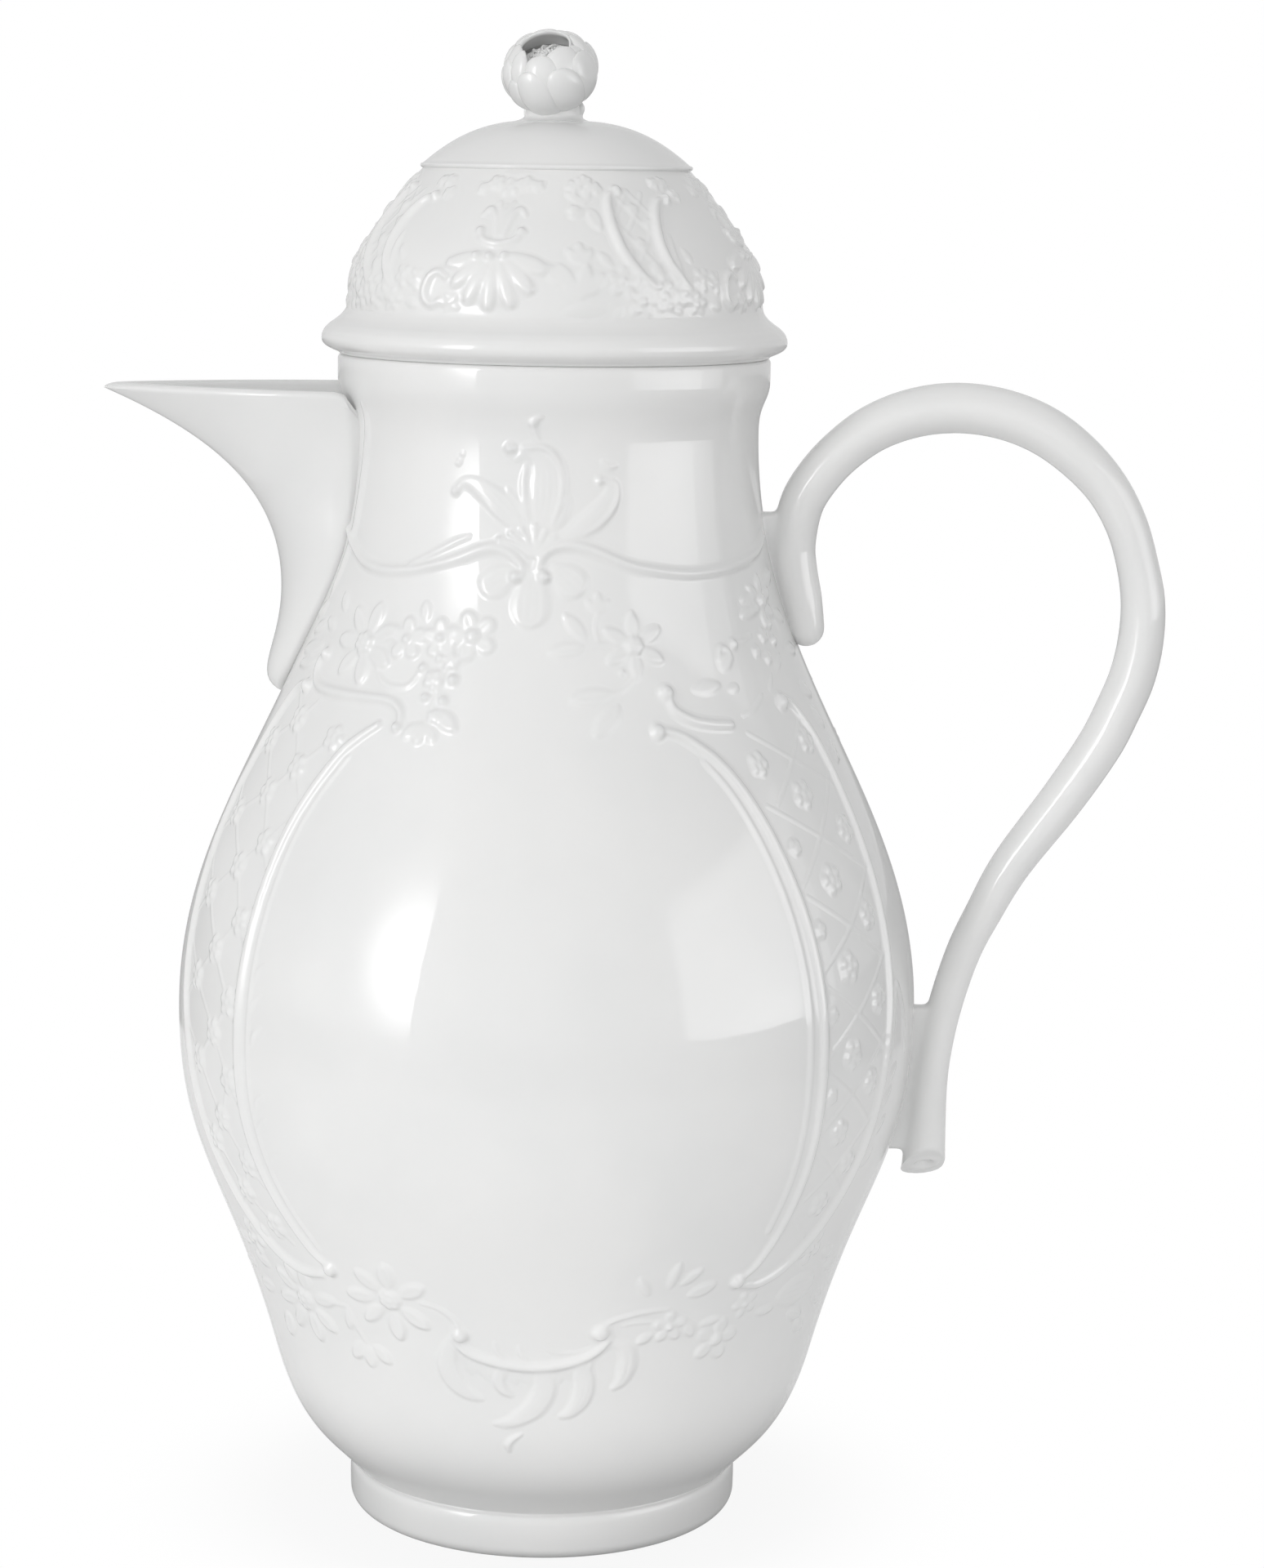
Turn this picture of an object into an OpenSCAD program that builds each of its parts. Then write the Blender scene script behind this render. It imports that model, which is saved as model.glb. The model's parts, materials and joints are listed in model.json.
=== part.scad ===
/* [Standing ring] */
// Widest radius of the standing ring
ring_r = 33.2; // [31:0.1:35]
// Height of the standing ring
ring_h = 8.5; // [7:0.1:10]
// Width of the ground face that touches the table
ring_face = 3.4; // [2.6:0.1:4.4]
// Radius that rounds the ring's lower outer edge
ring_round = 2.2; // [1.2:0.1:3]
// Depth of the recess under the floor
recess_h = 4.2; // [3:0.1:6]
// Depth of the groove between ring and bowl
groove = 0.5; // [0.2:0.1:0.9]

/* [Pot body] */
// Wall of the body
wall = 3.3; // [2.6:0.1:4.2]
// Thickness of the floor
floor_t = 4.6; // [3.6:0.1:6]
// Radius where the rounded bowl turns into the flank
bowl_r = 46.2; // [44:0.1:48]
// Height where the rounded bowl turns into the flank
bowl_z = 29.1; // [27:0.1:32]
// Outward lean of the flank there, in degrees from upright
bowl_lean = 15; // [10:1:20]
// Widest radius of the belly
belly_r = 62.35; // [60:0.05:65]
// Height of the widest belly
belly_z = 87.5; // [82:0.5:93]
// Narrowest radius of the neck
neck_r = 34; // [32:0.1:36]
// Height of the narrowest neck
neck_z = 185; // [180:0.5:188]

/* [Collar] */
// How far the collar stands out past the neck
collar_out = 1.8; // [1:0.1:2.6]
// Height of the collar, with its curve from the neck
collar_h = 7.2; // [6:0.1:9]
// Height of the rim that carries the lid
rim_z = 197.2; // [194:0.1:202]
// Radius that rounds the rim's edges
rim_round = 0.8; // [0.4:0.1:1.2]

/* [Beak spout] */
// Reach of the beak's tip from the pot's axis
beak_reach = 75.8; // [70:0.1:82]
// How far the beak's level edge lies below the rim
beak_drop = 5.8; // [4:0.1:8]
// Thickness of the beak's tip
beak_tip = 2; // [1.4:0.1:3]
// Half width of the beak where it meets the neck
beak_half = 16.6; // [14:0.1:18]
// Wall of the beak
beak_wall = 2.6; // [2:0.1:3.2]
// Height of the chin, where the beak grows out of the shoulder
chin_z = 140; // [136:0.5:144]
// Swelling of the chin
chin_swell = 5.6; // [3:0.1:7]
// Height of the beak's slimmest place
waist_z = 158; // [154:0.5:162]
// How far the beak stands off the body at its slimmest place
waist_off = 7.2; // [6:0.1:9]

/* [Pouring opening] */
// Half width of the opening behind the beak
pour_half = 9; // [7:0.1:11]
// Height of the opening's lowest point
pour_z = 152; // [150:0.5:156]
// Material left between the opening and the collar
pour_bridge = 3; // [2:0.1:5]

/* [Handle] */
// Thickness of the handle at the top of its loop
grip_t = 8.2; // [7:0.1:9.5]
// Thickness of the handle where it is slimmest
slim_t = 6; // [5:0.1:7]
// Width of the handle across its thickness, as a share of the thickness
grip_ratio = 1.16; // [1:0.01:1.3]
// Reach of the handle's centre line from the pot's axis
grip_reach = 98.4; // [92:0.1:106]
// Height of the handle's outermost point
grip_z = 155; // [150:0.5:160]
// Height of the centre line at the top of the loop
loop_z = 189.6; // [184:0.1:194]
// Distance of the loop's highest point from the pot's axis
loop_x = 67; // [62:0.5:72]
// Height of the upper end of the handle
upper_end_z = 152.5; // [150:0.5:156]
// Height of the lower end of the handle
lower_end_z = 59; // [56:0.5:63]
// Gap between pot and handle that each bridge closes
bridge_gap = 2; // [1.2:0.1:3]
// Thickness of the two bridges that join the handle to the pot
bridge_t = 5; // [4:0.1:6]

/* [Lid] */
// Widest radius of the lid's brim
brim_r = 38.5; // [37.6:0.1:40]
// Height of the brim at its edge
brim_h = 3; // [2.4:0.1:3.6]
// Radius of the dome where it rises from the brim
dome_r = 34.2; // [33:0.1:35.5]
// Height of the dome above the rim
dome_h = 37.6; // [34:0.1:41]
// Wall of the lid
lid_wall = 3; // [2.4:0.1:3.8]
// Radius of the raised edge round the lid's plain crown
ledge_r = 22; // [20:0.1:24]
// Height of that raised edge
ledge_step = 0.5; // [0.3:0.1:0.8]
// Depth of the locating flange inside the pot's mouth
flange_depth = 12; // [8:0.5:15]
// Wall of the flange
flange_wall = 2.6; // [2:0.1:3.2]
// Radial clearance between the flange and the mouth
flange_gap = 0.6; // [0.4:0.05:1]

/* [Rosebud knob] */
// Radius of the stem
stem_r = 4.6; // [4:0.1:5]
// Height of the stem between dome and bud
stem_h = 2.6; // [2:0.1:3.4]
// Radius of the bud to the outside of its outer petals
bud_r = 8; // [7.2:0.1:8.8]
// Radius of the bud's open mouth
bud_mouth = 4.2; // [3.4:0.1:5]
// Lean of the bud towards the front, in degrees
bud_lean = 30; // [15:1:34]
// Thickness of a petal
petal_t = 1; // [0.8:0.1:1.2]
// Radius of a stamen's head
stamen_r = 0.55; // [0.4:0.05:0.7]
// Stamens in the bud's mouth
stamens_n = 14; // [8:1:20]

/* [Hidden] */
$fn = 96;
glaze = [0.93, 0.93, 0.92];
steps = 10;          // points along each curve of a profile

// ---- curves ----
function bezier(a, b, c, d, n) = [
    for (i = [0:n]) let (t = i / n, s = 1 - t)
        s * s * s * a + 3 * s * s * t * b + 3 * s * t * t * c + t * t * t * d
];
function but_first(v) = [for (i = [1:len(v) - 1]) v[i]];
function reversed(v) = [for (i = [len(v) - 1:-1:0]) v[i]];
// a quarter circle about (x, z), from angle a to angle b
function arc(x, z, r, a, b, n) = [for (i = [0:n]) let (t = a + (b - a) * i / n) [x + r * cos(t), z + r * sin(t)]];
// each point moved square to the curve, to its left for a positive distance
function offset_curve(v, dist) = [
    for (i = [0:len(v) - 1])
        let (p = v[max(i - 1, 0)], q = v[min(i + 1, len(v) - 1)], d = (q - p) / norm(q - p))
            v[i] + dist * [-d.y, d.x]
];
// value of a curve's first coordinate at a height
function at_height(v, z) = lookup(z, [for (p = v) [p.y, p.x]]);

// ---- outside of the pot ----
lean_dir = [sin(bowl_lean), cos(bowl_lean)];
bowl_p = [bowl_r, bowl_z];
bowl_curve = bezier([ring_r + 0.4, ring_h], [ring_r + 4.8, ring_h + 5.4],
                    bowl_p - 0.5 * bowl_z * lean_dir, bowl_p, steps);
flank_curve = bezier(bowl_p, bowl_p + 1.12 * bowl_z * lean_dir, [belly_r, belly_z - 24.4],
                     [belly_r, belly_z], steps);
shoulder_curve = bezier([belly_r, belly_z], [belly_r, belly_z + 36.8], [neck_r, neck_z - 41.5],
                        [neck_r, neck_z], 2 * steps);
collar_r = neck_r + collar_out;
collar_z = rim_z - collar_h;
collar_curve = bezier([neck_r, neck_z], [neck_r, collar_z], [collar_r, collar_z],
                      [collar_r, rim_z - collar_h / 2], steps);
ring_outside = concat(
    arc(ring_r - ring_round, ring_round, ring_round, -90, 0, 4),
    [[ring_r, ring_h - 3 * groove], [ring_r - groove, ring_h - groove]]);
pot_outside = concat(bowl_curve, but_first(flank_curve), but_first(shoulder_curve),
                     but_first(collar_curve));
function pot_r(z) = at_height(pot_outside, z);

// ---- inside of the pot ----
throat_r = neck_r - wall;
inner_curve = [
    for (p = offset_curve(concat(bowl_curve, but_first(flank_curve), but_first(shoulder_curve)), wall))
        if (p.y < neck_z - 1) p
];
floor_z = recess_h + floor_t;
ring_in_r = ring_r - ring_round - ring_face;

// the pot's outside as a solid, to fit other pieces against
module pot_core() {
    rotate_extrude() polygon(concat([[0, ring_h]], pot_outside, [[collar_r, rim_z + 1], [0, rim_z + 1]]));
}

module pot_section() {
    polygon(concat(
        [[0, recess_h], [ring_in_r - recess_h / 3, recess_h], [ring_in_r, 0]],
        ring_outside, pot_outside,
        arc(collar_r - rim_round, rim_z - rim_round, rim_round, 0, 90, 4),
        arc(throat_r + rim_round, rim_z - rim_round, rim_round, 90, 180, 4),
        [[throat_r, neck_z - 1]],
        reversed(inner_curve),
        [[inner_curve[0].x - 3, floor_z + 0.4], [inner_curve[0].x - 9, floor_z], [0, floor_z]]
    ));
}

// an upright slot with round ends, cut through the wall behind the beak
module pour_opening() {
    top = collar_z - pour_bridge;
    rotate([90, 0, -90]) linear_extrude(collar_r + 1) hull() {
        translate([0, pour_z + pour_half]) circle(pour_half, $fn = 48);
        translate([0, top - pour_half]) circle(pour_half, $fn = 48);
    }
}

module pot_body() {
    color(glaze) difference() {
        rotate_extrude() pot_section();
        pour_opening();
    }
}

// ---- beak spout: level slices from the chin to the pouring edge ----
edge_z = rim_z - beak_drop;
waist_x = pot_r(waist_z) + waist_off;
chin_curve = bezier([pot_r(chin_z), chin_z], [pot_r(chin_z) + chin_swell, chin_z + 2.6],
                    [waist_x, waist_z - 10], [waist_x, waist_z], steps);
tip_curve = bezier([waist_x, waist_z], [waist_x, waist_z + 16],
                   [beak_reach - 17.8, edge_z - beak_tip - 6.4], [beak_reach, edge_z - beak_tip / 2], steps);
keel_out = concat(chin_curve, but_first(tip_curve), [[beak_reach - beak_tip / 2, edge_z]]);
keel_in = offset_curve(concat(chin_curve, but_first(tip_curve)), beak_wall);
// half the beak's width: it swells fast above the chin, holds, and flares at the pouring edge
beak_flank = concat(
    bezier([0.08 * beak_half, chin_z], [0.5 * beak_half, chin_z + 5], [0.72 * beak_half, chin_z + 14],
           [0.92 * beak_half, chin_z + 27], steps),
    but_first(bezier([0.92 * beak_half, chin_z + 27], [0.96 * beak_half, chin_z + 34],
                     [0.95 * beak_half, edge_z - 8], [beak_half, edge_z], steps)));
// how far forward of the axis a slice's sides meet the neck
function beak_root(z) = let (w = at_height(beak_flank, z)) sqrt(max(pot_r(z) * pot_r(z) - w * w, 1)) - 2;
function nose_shape(s, k) = (1 - k) * sin(90 * s) + k * sqrt(1 - (1 - s) * (1 - s));
slice_n = 9;
function beak_slice(z, nose, half, back) = let (k = 0.3 + 0.7 * min(1, (edge_z - z) / 40)) concat(
    [for (i = [slice_n:-1:0]) let (s = pow(i / slice_n, 1.7)) [-(nose - s * (nose - back)), half * nose_shape(s, k), z]],
    [for (i = [1:slice_n]) let (s = pow(i / slice_n, 1.7)) [-(nose - s * (nose - back)), -half * nose_shape(s, k), z]]
);

// closed solid through equal rings of points
module skin(rings) {
    n = len(rings[0]);
    m = len(rings);
    polyhedron(
        points = [for (ring = rings) each ring],
        faces = concat(
            [[for (i = [0:n - 1]) i]],
            [for (j = [0:m - 2], i = [0:n - 1]) let (k = (i + 1) % n) each [
                [j * n + i, (j + 1) * n + i, (j + 1) * n + k],
                [j * n + i, (j + 1) * n + k, j * n + k]
            ]],
            [[for (i = [n - 1:-1:0]) (m - 1) * n + i]]
        ),
        convexity = 6
    );
}

beak_slices = 22;
module beak_outside() {
    skin([
        for (j = [0:beak_slices]) let (z = chin_z + 0.5 + (edge_z - chin_z - 0.5) * sin(90 * j / beak_slices))
            beak_slice(z, max(at_height(keel_out, z), pot_r(z) + 0.1), at_height(beak_flank, z), beak_root(z))
    ]);
}

module beak_trough() {
    skin(concat(
        [for (j = [0:beak_slices]) let (z = pour_z + (edge_z - pour_z) * sin(90 * j / beak_slices))
            beak_slice(z, at_height(keel_in, z), at_height(beak_flank, z) - beak_wall, beak_root(z) - 1)],
        [beak_slice(edge_z + beak_drop, at_height(keel_in, edge_z), beak_half - beak_wall, beak_root(edge_z) - 1)]
    ));
}

module beak_spout() {
    color(glaze) difference() {
        beak_outside();
        beak_trough();
        pot_core();
    }
}

// ---- handle ----
upper_x = pot_r(upper_end_z + 8) + bridge_gap + slim_t / 2;
lower_x = pot_r(belly_z) + bridge_gap + slim_t / 2;
// centre line stations: [x, z, thickness]
grip_stations = [
    [upper_x + 0.1, upper_end_z, slim_t + 0.2],
    [upper_x - 0.8, upper_end_z + 5, slim_t + 0.9],
    [upper_x - 1.8, upper_end_z + 9.5, slim_t + 1.2],
    [upper_x - 2.2, upper_end_z + 14, slim_t + 1.3],
    [upper_x - 1.3, upper_end_z + 20.1, slim_t + 1.4],
    [upper_x + 0.8, upper_end_z + 24.3, slim_t + 1.5],
    [loop_x - 19.7, loop_z - 8, grip_t - 0.6],
    [loop_x - 10.7, loop_z - 2, grip_t - 0.1],
    [loop_x, loop_z, grip_t + 0.15],
    [loop_x + 10.8, loop_z - 2, grip_t],
    [loop_x + 19.9, loop_z - 7.6, grip_t - 0.35],
    [grip_reach - 4.8, grip_z + 19, grip_t - 1.05],
    [grip_reach - 1.25, grip_z + 9.6, grip_t - 1.35],
    [grip_reach, grip_z, grip_t - 0.65],
    [grip_reach - 1.4, grip_z - 9.5, grip_t - 0.5],
    [grip_reach - 5, grip_z - 18.3, grip_t - 0.6],
    [grip_reach - 12.3, grip_z - 30.35, grip_t - 0.8],
    [grip_reach - 20.4, grip_z - 41.7, grip_t - 1.4],
    [lower_x + 2.85, belly_z + 10, slim_t - 0.1],
    [lower_x - 0.05, belly_z, slim_t - 0.2],
    [lower_x - 1.75, belly_z - 10, slim_t - 0.1],
    [lower_x - 2.45, lower_end_z + 8.5, slim_t + 0.5],
    [lower_x - 3.05, lower_end_z + 2.2, slim_t + 1.2]
];
function spline_at(p, i, t) = let (
    n = len(p) - 1, a = p[max(i - 1, 0)], b = p[i], c = p[min(i + 1, n)], d = p[min(i + 2, n)])
    0.5 * (2 * b + t * (c - a) + t * t * (2 * a - 5 * b + 4 * c - d) + t * t * t * (3 * b - a - 3 * c + d));
grip_steps = 3;
grip_line = concat(
    [for (i = [0:len(grip_stations) - 2], k = [0:grip_steps - 1]) spline_at(grip_stations, i, k / grip_steps)],
    [grip_stations[len(grip_stations) - 1]]);
grip_sides = 16;
function grip_ring(i, squeeze, push) = let (
    n = len(grip_line) - 1, p = grip_line[max(i - 1, 0)], q = grip_line[min(i + 1, n)], c = grip_line[i],
    d = [q.x - p.x, q.y - p.y] / norm([q.x - p.x, q.y - p.y]), h = c[2] / 2 * squeeze)
    [for (k = [0:grip_sides - 1]) let (a = 360 * k / grip_sides)
        [c.x + push * d.x - h * cos(a) * d.y, -h * grip_ratio * sin(a), c.y + push * d.y + h * cos(a) * d.x]];

module grip() {
    last = len(grip_line) - 1;
    end_h = grip_line[0][2] / 2;
    foot_h = grip_line[last][2] / 2;
    skin(concat(
        [for (a = [80, 50, 25]) grip_ring(0, cos(a), -end_h * sin(a))],
        [for (i = [0:last]) grip_ring(i, 1, 0)],
        [for (a = [25, 50, 70]) grip_ring(last, cos(a), foot_h * 0.6 * sin(a))]
    ));
}

// plate between the pot and the handle's centre line, over a span of heights
module bridge(z0, z1) {
    zs = [for (i = [0:6]) z0 + (z1 - z0) * i / 6];
    line = [for (p = grip_line) [p.x, p.y]];
    lower_part = [for (p = line) if (p.x < lower_x + 4 && p.y < belly_z + 20) p];
    upper_part = [for (p = line) if (p.x < upper_x + 4) p];
    side = z1 < belly_z + 20 ? lower_part : upper_part;
    difference() {
        rotate([90, 0, 0]) linear_extrude(bridge_t, center = true)
            polygon(concat([for (z = zs) [pot_r(z) - wall, z]],
                           [for (z = reversed(zs)) [at_height(side, z), z]]));
        pot_core();
    }
}

module handle() {
    color(glaze) {
        grip();
        bridge(upper_end_z - 1, upper_end_z + 19);
        bridge(lower_end_z + 4, belly_z + 1);
    }
}

// ---- lid ----
dome_z = rim_z + dome_h;
dome_foot_z = rim_z + 9;
ledge_z = rim_z + 30.2;
side_curve = bezier([dome_r, dome_foot_z], [dome_r, dome_foot_z + 8.5], [ledge_r + 3.8, ledge_z - 4.6],
                    [ledge_r, ledge_z], steps);
crown_curve = bezier([ledge_r, ledge_z + ledge_step / 2], [ledge_r - 5, ledge_z + 5], [stem_r + 6.5, dome_z - 0.6],
                     [stem_r, dome_z], steps);
brim_z = rim_z + brim_h;
brim_curve = bezier([brim_r - 0.5, brim_z + 0.9], [brim_r - 3.3, brim_z + 2.2], [dome_r, brim_z + 3.2],
                    [dome_r, dome_foot_z], steps);
flange_r = throat_r - flange_gap;
lid_in_r = flange_r - flange_wall;

lid_inner = offset_curve(concat(reversed(crown_curve), but_first(reversed(side_curve))), -lid_wall);

module lid_section() {
    polygon(concat(
        [[lid_in_r, rim_z - flange_depth + 1], [lid_in_r + 0.6, rim_z - flange_depth],
         [flange_r - 0.6, rim_z - flange_depth], [flange_r, rim_z - flange_depth + 1],
         [flange_r, rim_z], [collar_r - 0.3, rim_z]],
        bezier([collar_r + 0.1, rim_z + 0.4], [brim_r - 0.4, rim_z + 1.2], [brim_r + 0.2, brim_z - 0.6],
               [brim_r, brim_z], 6),
        [[brim_r - 0.15, brim_z + 0.5]],
        brim_curve, but_first(side_curve),
        [[ledge_r + ledge_step * 0.3, ledge_z + ledge_step]],
        crown_curve, [[0, dome_z], [0, dome_z - lid_wall]],
        [for (p = lid_inner) if (p.y > dome_foot_z && p.x > 1) [min(p.x, lid_in_r + 2), p.y]],
        [[lid_in_r + 0.6, rim_z + 4], [lid_in_r, rim_z + 1]]
    ));
}

module lid_dome() {
    color(glaze) rotate_extrude() lid_section();
}

// ---- rosebud knob: places in the bud are a turn from its front, an angle down from its mouth and a radius ----
bud_core_r = bud_r - 1.8 * petal_t;
bud_squash = 0.95;
bud_mid = [-1.2, -1.5, dome_z + stem_h + bud_squash * bud_core_r - 0.2];
mouth_down = asin(bud_mouth / bud_core_r);
cup_wall = 1;
cup_floor = -0.14 * bud_r;
function bud_at(turn, down, r) = [r * sin(down) * sin(turn), -r * sin(down) * cos(turn), r * bud_squash * cos(down)];
function cup_arc(r, a, b, n) = [for (i = [0:n]) let (d = a + (b - a) * i / n) [r * sin(d), r * bud_squash * cos(d)]];

// turns the bud about its middle so that it leans to the front
module in_bud() {
    translate(bud_mid) rotate([bud_lean, 0, 0]) rotate([0, -6, 0]) children();
}

module knob_stem() {
    color(glaze) rotate_extrude() polygon(concat(
        [[0, dome_z]], [[stem_r + 0.2, dome_z]],
        bezier([stem_r + 0.8, dome_z + 0.05], [stem_r + 0.3, dome_z + 0.2], [stem_r + 0.1, dome_z + 0.8],
               [stem_r, dome_z + stem_h], 6),
        [[stem_r - 0.5, dome_z + stem_h + 0.9], [0, dome_z + stem_h + 0.9]]));
}

module bud_cup() {
    outside = cup_arc(bud_core_r, 172, mouth_down, 20);
    inside = cup_arc(bud_core_r - cup_wall, mouth_down + 3, 100, 10);
    color(glaze) in_bud() rotate_extrude() polygon(concat(
        [[0, -bud_core_r * bud_squash]], outside, inside, [[0, cup_floor]]));
}

// a round-tipped petal laid on the bud; its middle stands proud of its edges
module petal(tip, root, half, r) {
    // share of the way from root to tip, share of the half width
    places = [[0, 0.6], [0.25, 0.88], [0.5, 1], [0.7, 0.96], [0.86, 0.74], [0.97, 0.36]];
    hull() for (p = places) {
        turn = root.x + (tip.x - root.x) * p.x;
        down = root.y + (tip.y - root.y) * p.x;
        swing = asin(min(0.95, half * p.y / (r * max(0.42, sin(down)))));
        for (side = [-1, 0, 1])
            translate(bud_at(turn + side * swing, down, r - 0.5 * petal_t - 0.55 * petal_t * abs(side)))
                sphere(petal_t / 2, $fn = 8);
    }
}

module petal_row(row, r) {
    color(glaze) in_bud() for (p = row) petal([p[0], p[1]], [p[2], p[3]], p[4] * bud_r / 8, r);
}

// petals of each row: turn and angle of the tip, turn and angle of the root, half width
outer_row = [
    [-21, 62, -2, 130, 3.8], [24, 61, 24, 127, 3.8], [64, 54, 72, 126, 3.8], [-50, 79, -44, 128, 2.6],
    [120, 58, 120, 126, 4.4], [-173, 60, -173, 128, 4.6], [-112, 64, -112, 128, 4.6]
];
middle_row = [
    [-64, 57, -62, 104, 3.2], [-4, 42, 0, 96, 3.9], [-43, 37, -38, 92, 2.6], [98, 47, 98, 96, 3.4],
    [146, 42, 146, 96, 3.8], [-164, 40, -164, 96, 3.8], [-110, 43, -110, 96, 3.8]
];
inner_row = [
    [35, 33, 32, 82, 3.7], [84, 32, 84, 84, 3.3], [-77, 28, -72, 84, 3.2],
    [130, 28, 130, 80, 3.5], [178, 27, 178, 80, 3.5], [-126, 28, -126, 80, 3.5]
];
module outer_petals() { petal_row(outer_row, bud_r + 0.1); }
module middle_petals() { petal_row(middle_row, bud_r - 0.35); }
module inner_petals() { petal_row(inner_row, bud_r - 0.75); }

module stamens() {
    spread = bud_mouth - cup_wall - stamen_r;
    heap_z = cup_floor + 0.7;
    heap_h = 0.33 * bud_r;
    color(glaze) in_bud() {
        rotate_extrude() polygon([
            [0, cup_floor - 0.8], [spread + 0.6, cup_floor - 0.8], [spread + 0.6, heap_z],
            [spread * 0.5, heap_z + heap_h], [0, heap_z + heap_h]]);
        for (i = [0:stamens_n - 1])
            rotate(i * 137.5) translate([spread * sqrt(i / stamens_n), 0, heap_z + heap_h + 0.4 - 1.4 * i / stamens_n])
                sphere(stamen_r, $fn = 20);
    }
}

module stem_sepals() {
    color(glaze) for (i = [0:2]) rotate(20 + 120 * i) {
        hull() {
            translate([stem_r - 0.6, 0, dome_z + 0.8]) sphere(0.7, $fn = 8);
            translate([stem_r + 0.1, 1.2, dome_z + 1.8]) sphere(0.7, $fn = 8);
            translate([stem_r + 0.1, -1.2, dome_z + 1.8]) sphere(0.7, $fn = 8);
            translate([stem_r + 0.3, 0, dome_z + stem_h + 0.6]) sphere(0.7, $fn = 8);
        }
    }
}

pot_body();
beak_spout();
handle();
lid_dome();
knob_stem();
stem_sepals();
bud_cup();
outer_petals();
middle_petals();
inner_petals();
stamens();
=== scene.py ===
# %% [markdown]
# # A white porcelain coffee pot
# The pot is two loose pieces of glazed porcelain: the pot itself, with its beak and its
# looped handle, and a domed lid with a rosebud for a knob. Both carry carved ornament
# that was cut in the mould, so it swells out of the wall with soft edges under the glaze.
# We load the measured model first, and dress each of its parts in turn.

# %% Load the measured model
import json
import math
import bpy
import numpy as np
from mathutils import Matrix, Vector

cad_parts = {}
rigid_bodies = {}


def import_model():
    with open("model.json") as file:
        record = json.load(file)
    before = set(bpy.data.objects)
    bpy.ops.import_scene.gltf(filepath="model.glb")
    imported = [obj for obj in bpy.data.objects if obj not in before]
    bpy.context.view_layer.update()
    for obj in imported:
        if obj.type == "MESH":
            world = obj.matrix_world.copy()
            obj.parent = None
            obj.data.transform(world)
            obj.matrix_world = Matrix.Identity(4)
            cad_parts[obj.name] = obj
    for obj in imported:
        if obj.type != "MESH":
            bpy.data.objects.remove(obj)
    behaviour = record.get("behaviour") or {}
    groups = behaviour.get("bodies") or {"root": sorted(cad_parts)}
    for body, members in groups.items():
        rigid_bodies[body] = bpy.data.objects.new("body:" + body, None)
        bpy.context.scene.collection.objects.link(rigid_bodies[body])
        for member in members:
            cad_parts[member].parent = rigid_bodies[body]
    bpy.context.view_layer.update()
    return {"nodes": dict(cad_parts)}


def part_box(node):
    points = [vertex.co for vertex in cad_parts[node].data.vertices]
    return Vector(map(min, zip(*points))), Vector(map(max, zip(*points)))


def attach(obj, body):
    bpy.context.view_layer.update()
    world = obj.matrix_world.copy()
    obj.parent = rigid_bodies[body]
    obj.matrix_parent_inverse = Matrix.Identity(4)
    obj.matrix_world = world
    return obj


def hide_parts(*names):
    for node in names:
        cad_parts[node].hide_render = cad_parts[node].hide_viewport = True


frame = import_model()
MM = 0.001
for name in sorted(frame["nodes"]):
    low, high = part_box(name)
    print(name, [round(v / MM, 1) for v in low], [round(v / MM, 1) for v in high])

# %% [markdown]
# Blender's operators act on all that is selected, and the loaded parts are selected, so
# every step starts by letting go of everything. `finish` ends every piece: it takes its
# glaze, is smoothed and rides on the pot or on the lid.

# %% Small helpers for every piece
def let_go():
    """Leaves edit mode and selects nothing."""
    if bpy.context.object and bpy.context.object.mode != "OBJECT":
        bpy.ops.object.mode_set(mode="OBJECT")
    bpy.ops.object.select_all(action="DESELECT")


def pick(piece):
    """Makes one piece the only selected and active one."""
    let_go()
    piece.select_set(True)
    bpy.context.view_layer.objects.active = piece
    return piece


def named(piece, name):
    """Gives a piece and its mesh one name."""
    piece.name = name
    piece.data.name = name
    return piece


def read_points(piece):
    """The piece's points as rows of x, y, z in millimetres."""
    flat = np.zeros(len(piece.data.vertices) * 3)
    piece.data.vertices.foreach_get("co", flat)
    return flat.reshape(-1, 3) / MM


def write_points(piece, points):
    """Moves the piece's points to rows of x, y, z in millimetres."""
    piece.data.vertices.foreach_set("co", (np.asarray(points) * MM).ravel())
    piece.data.update()


def unit(way):
    """A direction one long."""
    way = np.array(way, float)
    return way / np.linalg.norm(way)


def apply_modifier(piece, kind, **values):
    """Adds one modifier, sets its values and applies it."""
    pick(piece)
    modifier = piece.modifiers.new(kind, kind)
    for key, value in values.items():
        setattr(modifier, key, value)
    bpy.ops.object.modifier_apply(modifier=modifier.name)


def weld_outwards(piece, distance=0.01):
    """Merges doubled points and turns every face outwards."""
    pick(piece)
    bpy.ops.object.mode_set(mode="EDIT")
    bpy.ops.mesh.select_all(action="SELECT")
    bpy.ops.mesh.remove_doubles(threshold=distance * MM)
    bpy.ops.mesh.normals_make_consistent(inside=False)
    bpy.ops.object.mode_set(mode="OBJECT")


def joined(pieces, name):
    """Joins several pieces in one mesh."""
    pick(pieces[0])
    for piece in pieces[1:]:
        piece.select_set(True)
    if len(pieces) > 1:
        bpy.ops.object.join()
    return named(bpy.context.object, name)


def triangles(piece):
    """How many triangles the piece's faces make."""
    sides = np.zeros(len(piece.data.polygons), dtype=np.int32)
    piece.data.polygons.foreach_get("loop_total", sides)
    return int((sides - 2).sum())


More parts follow.
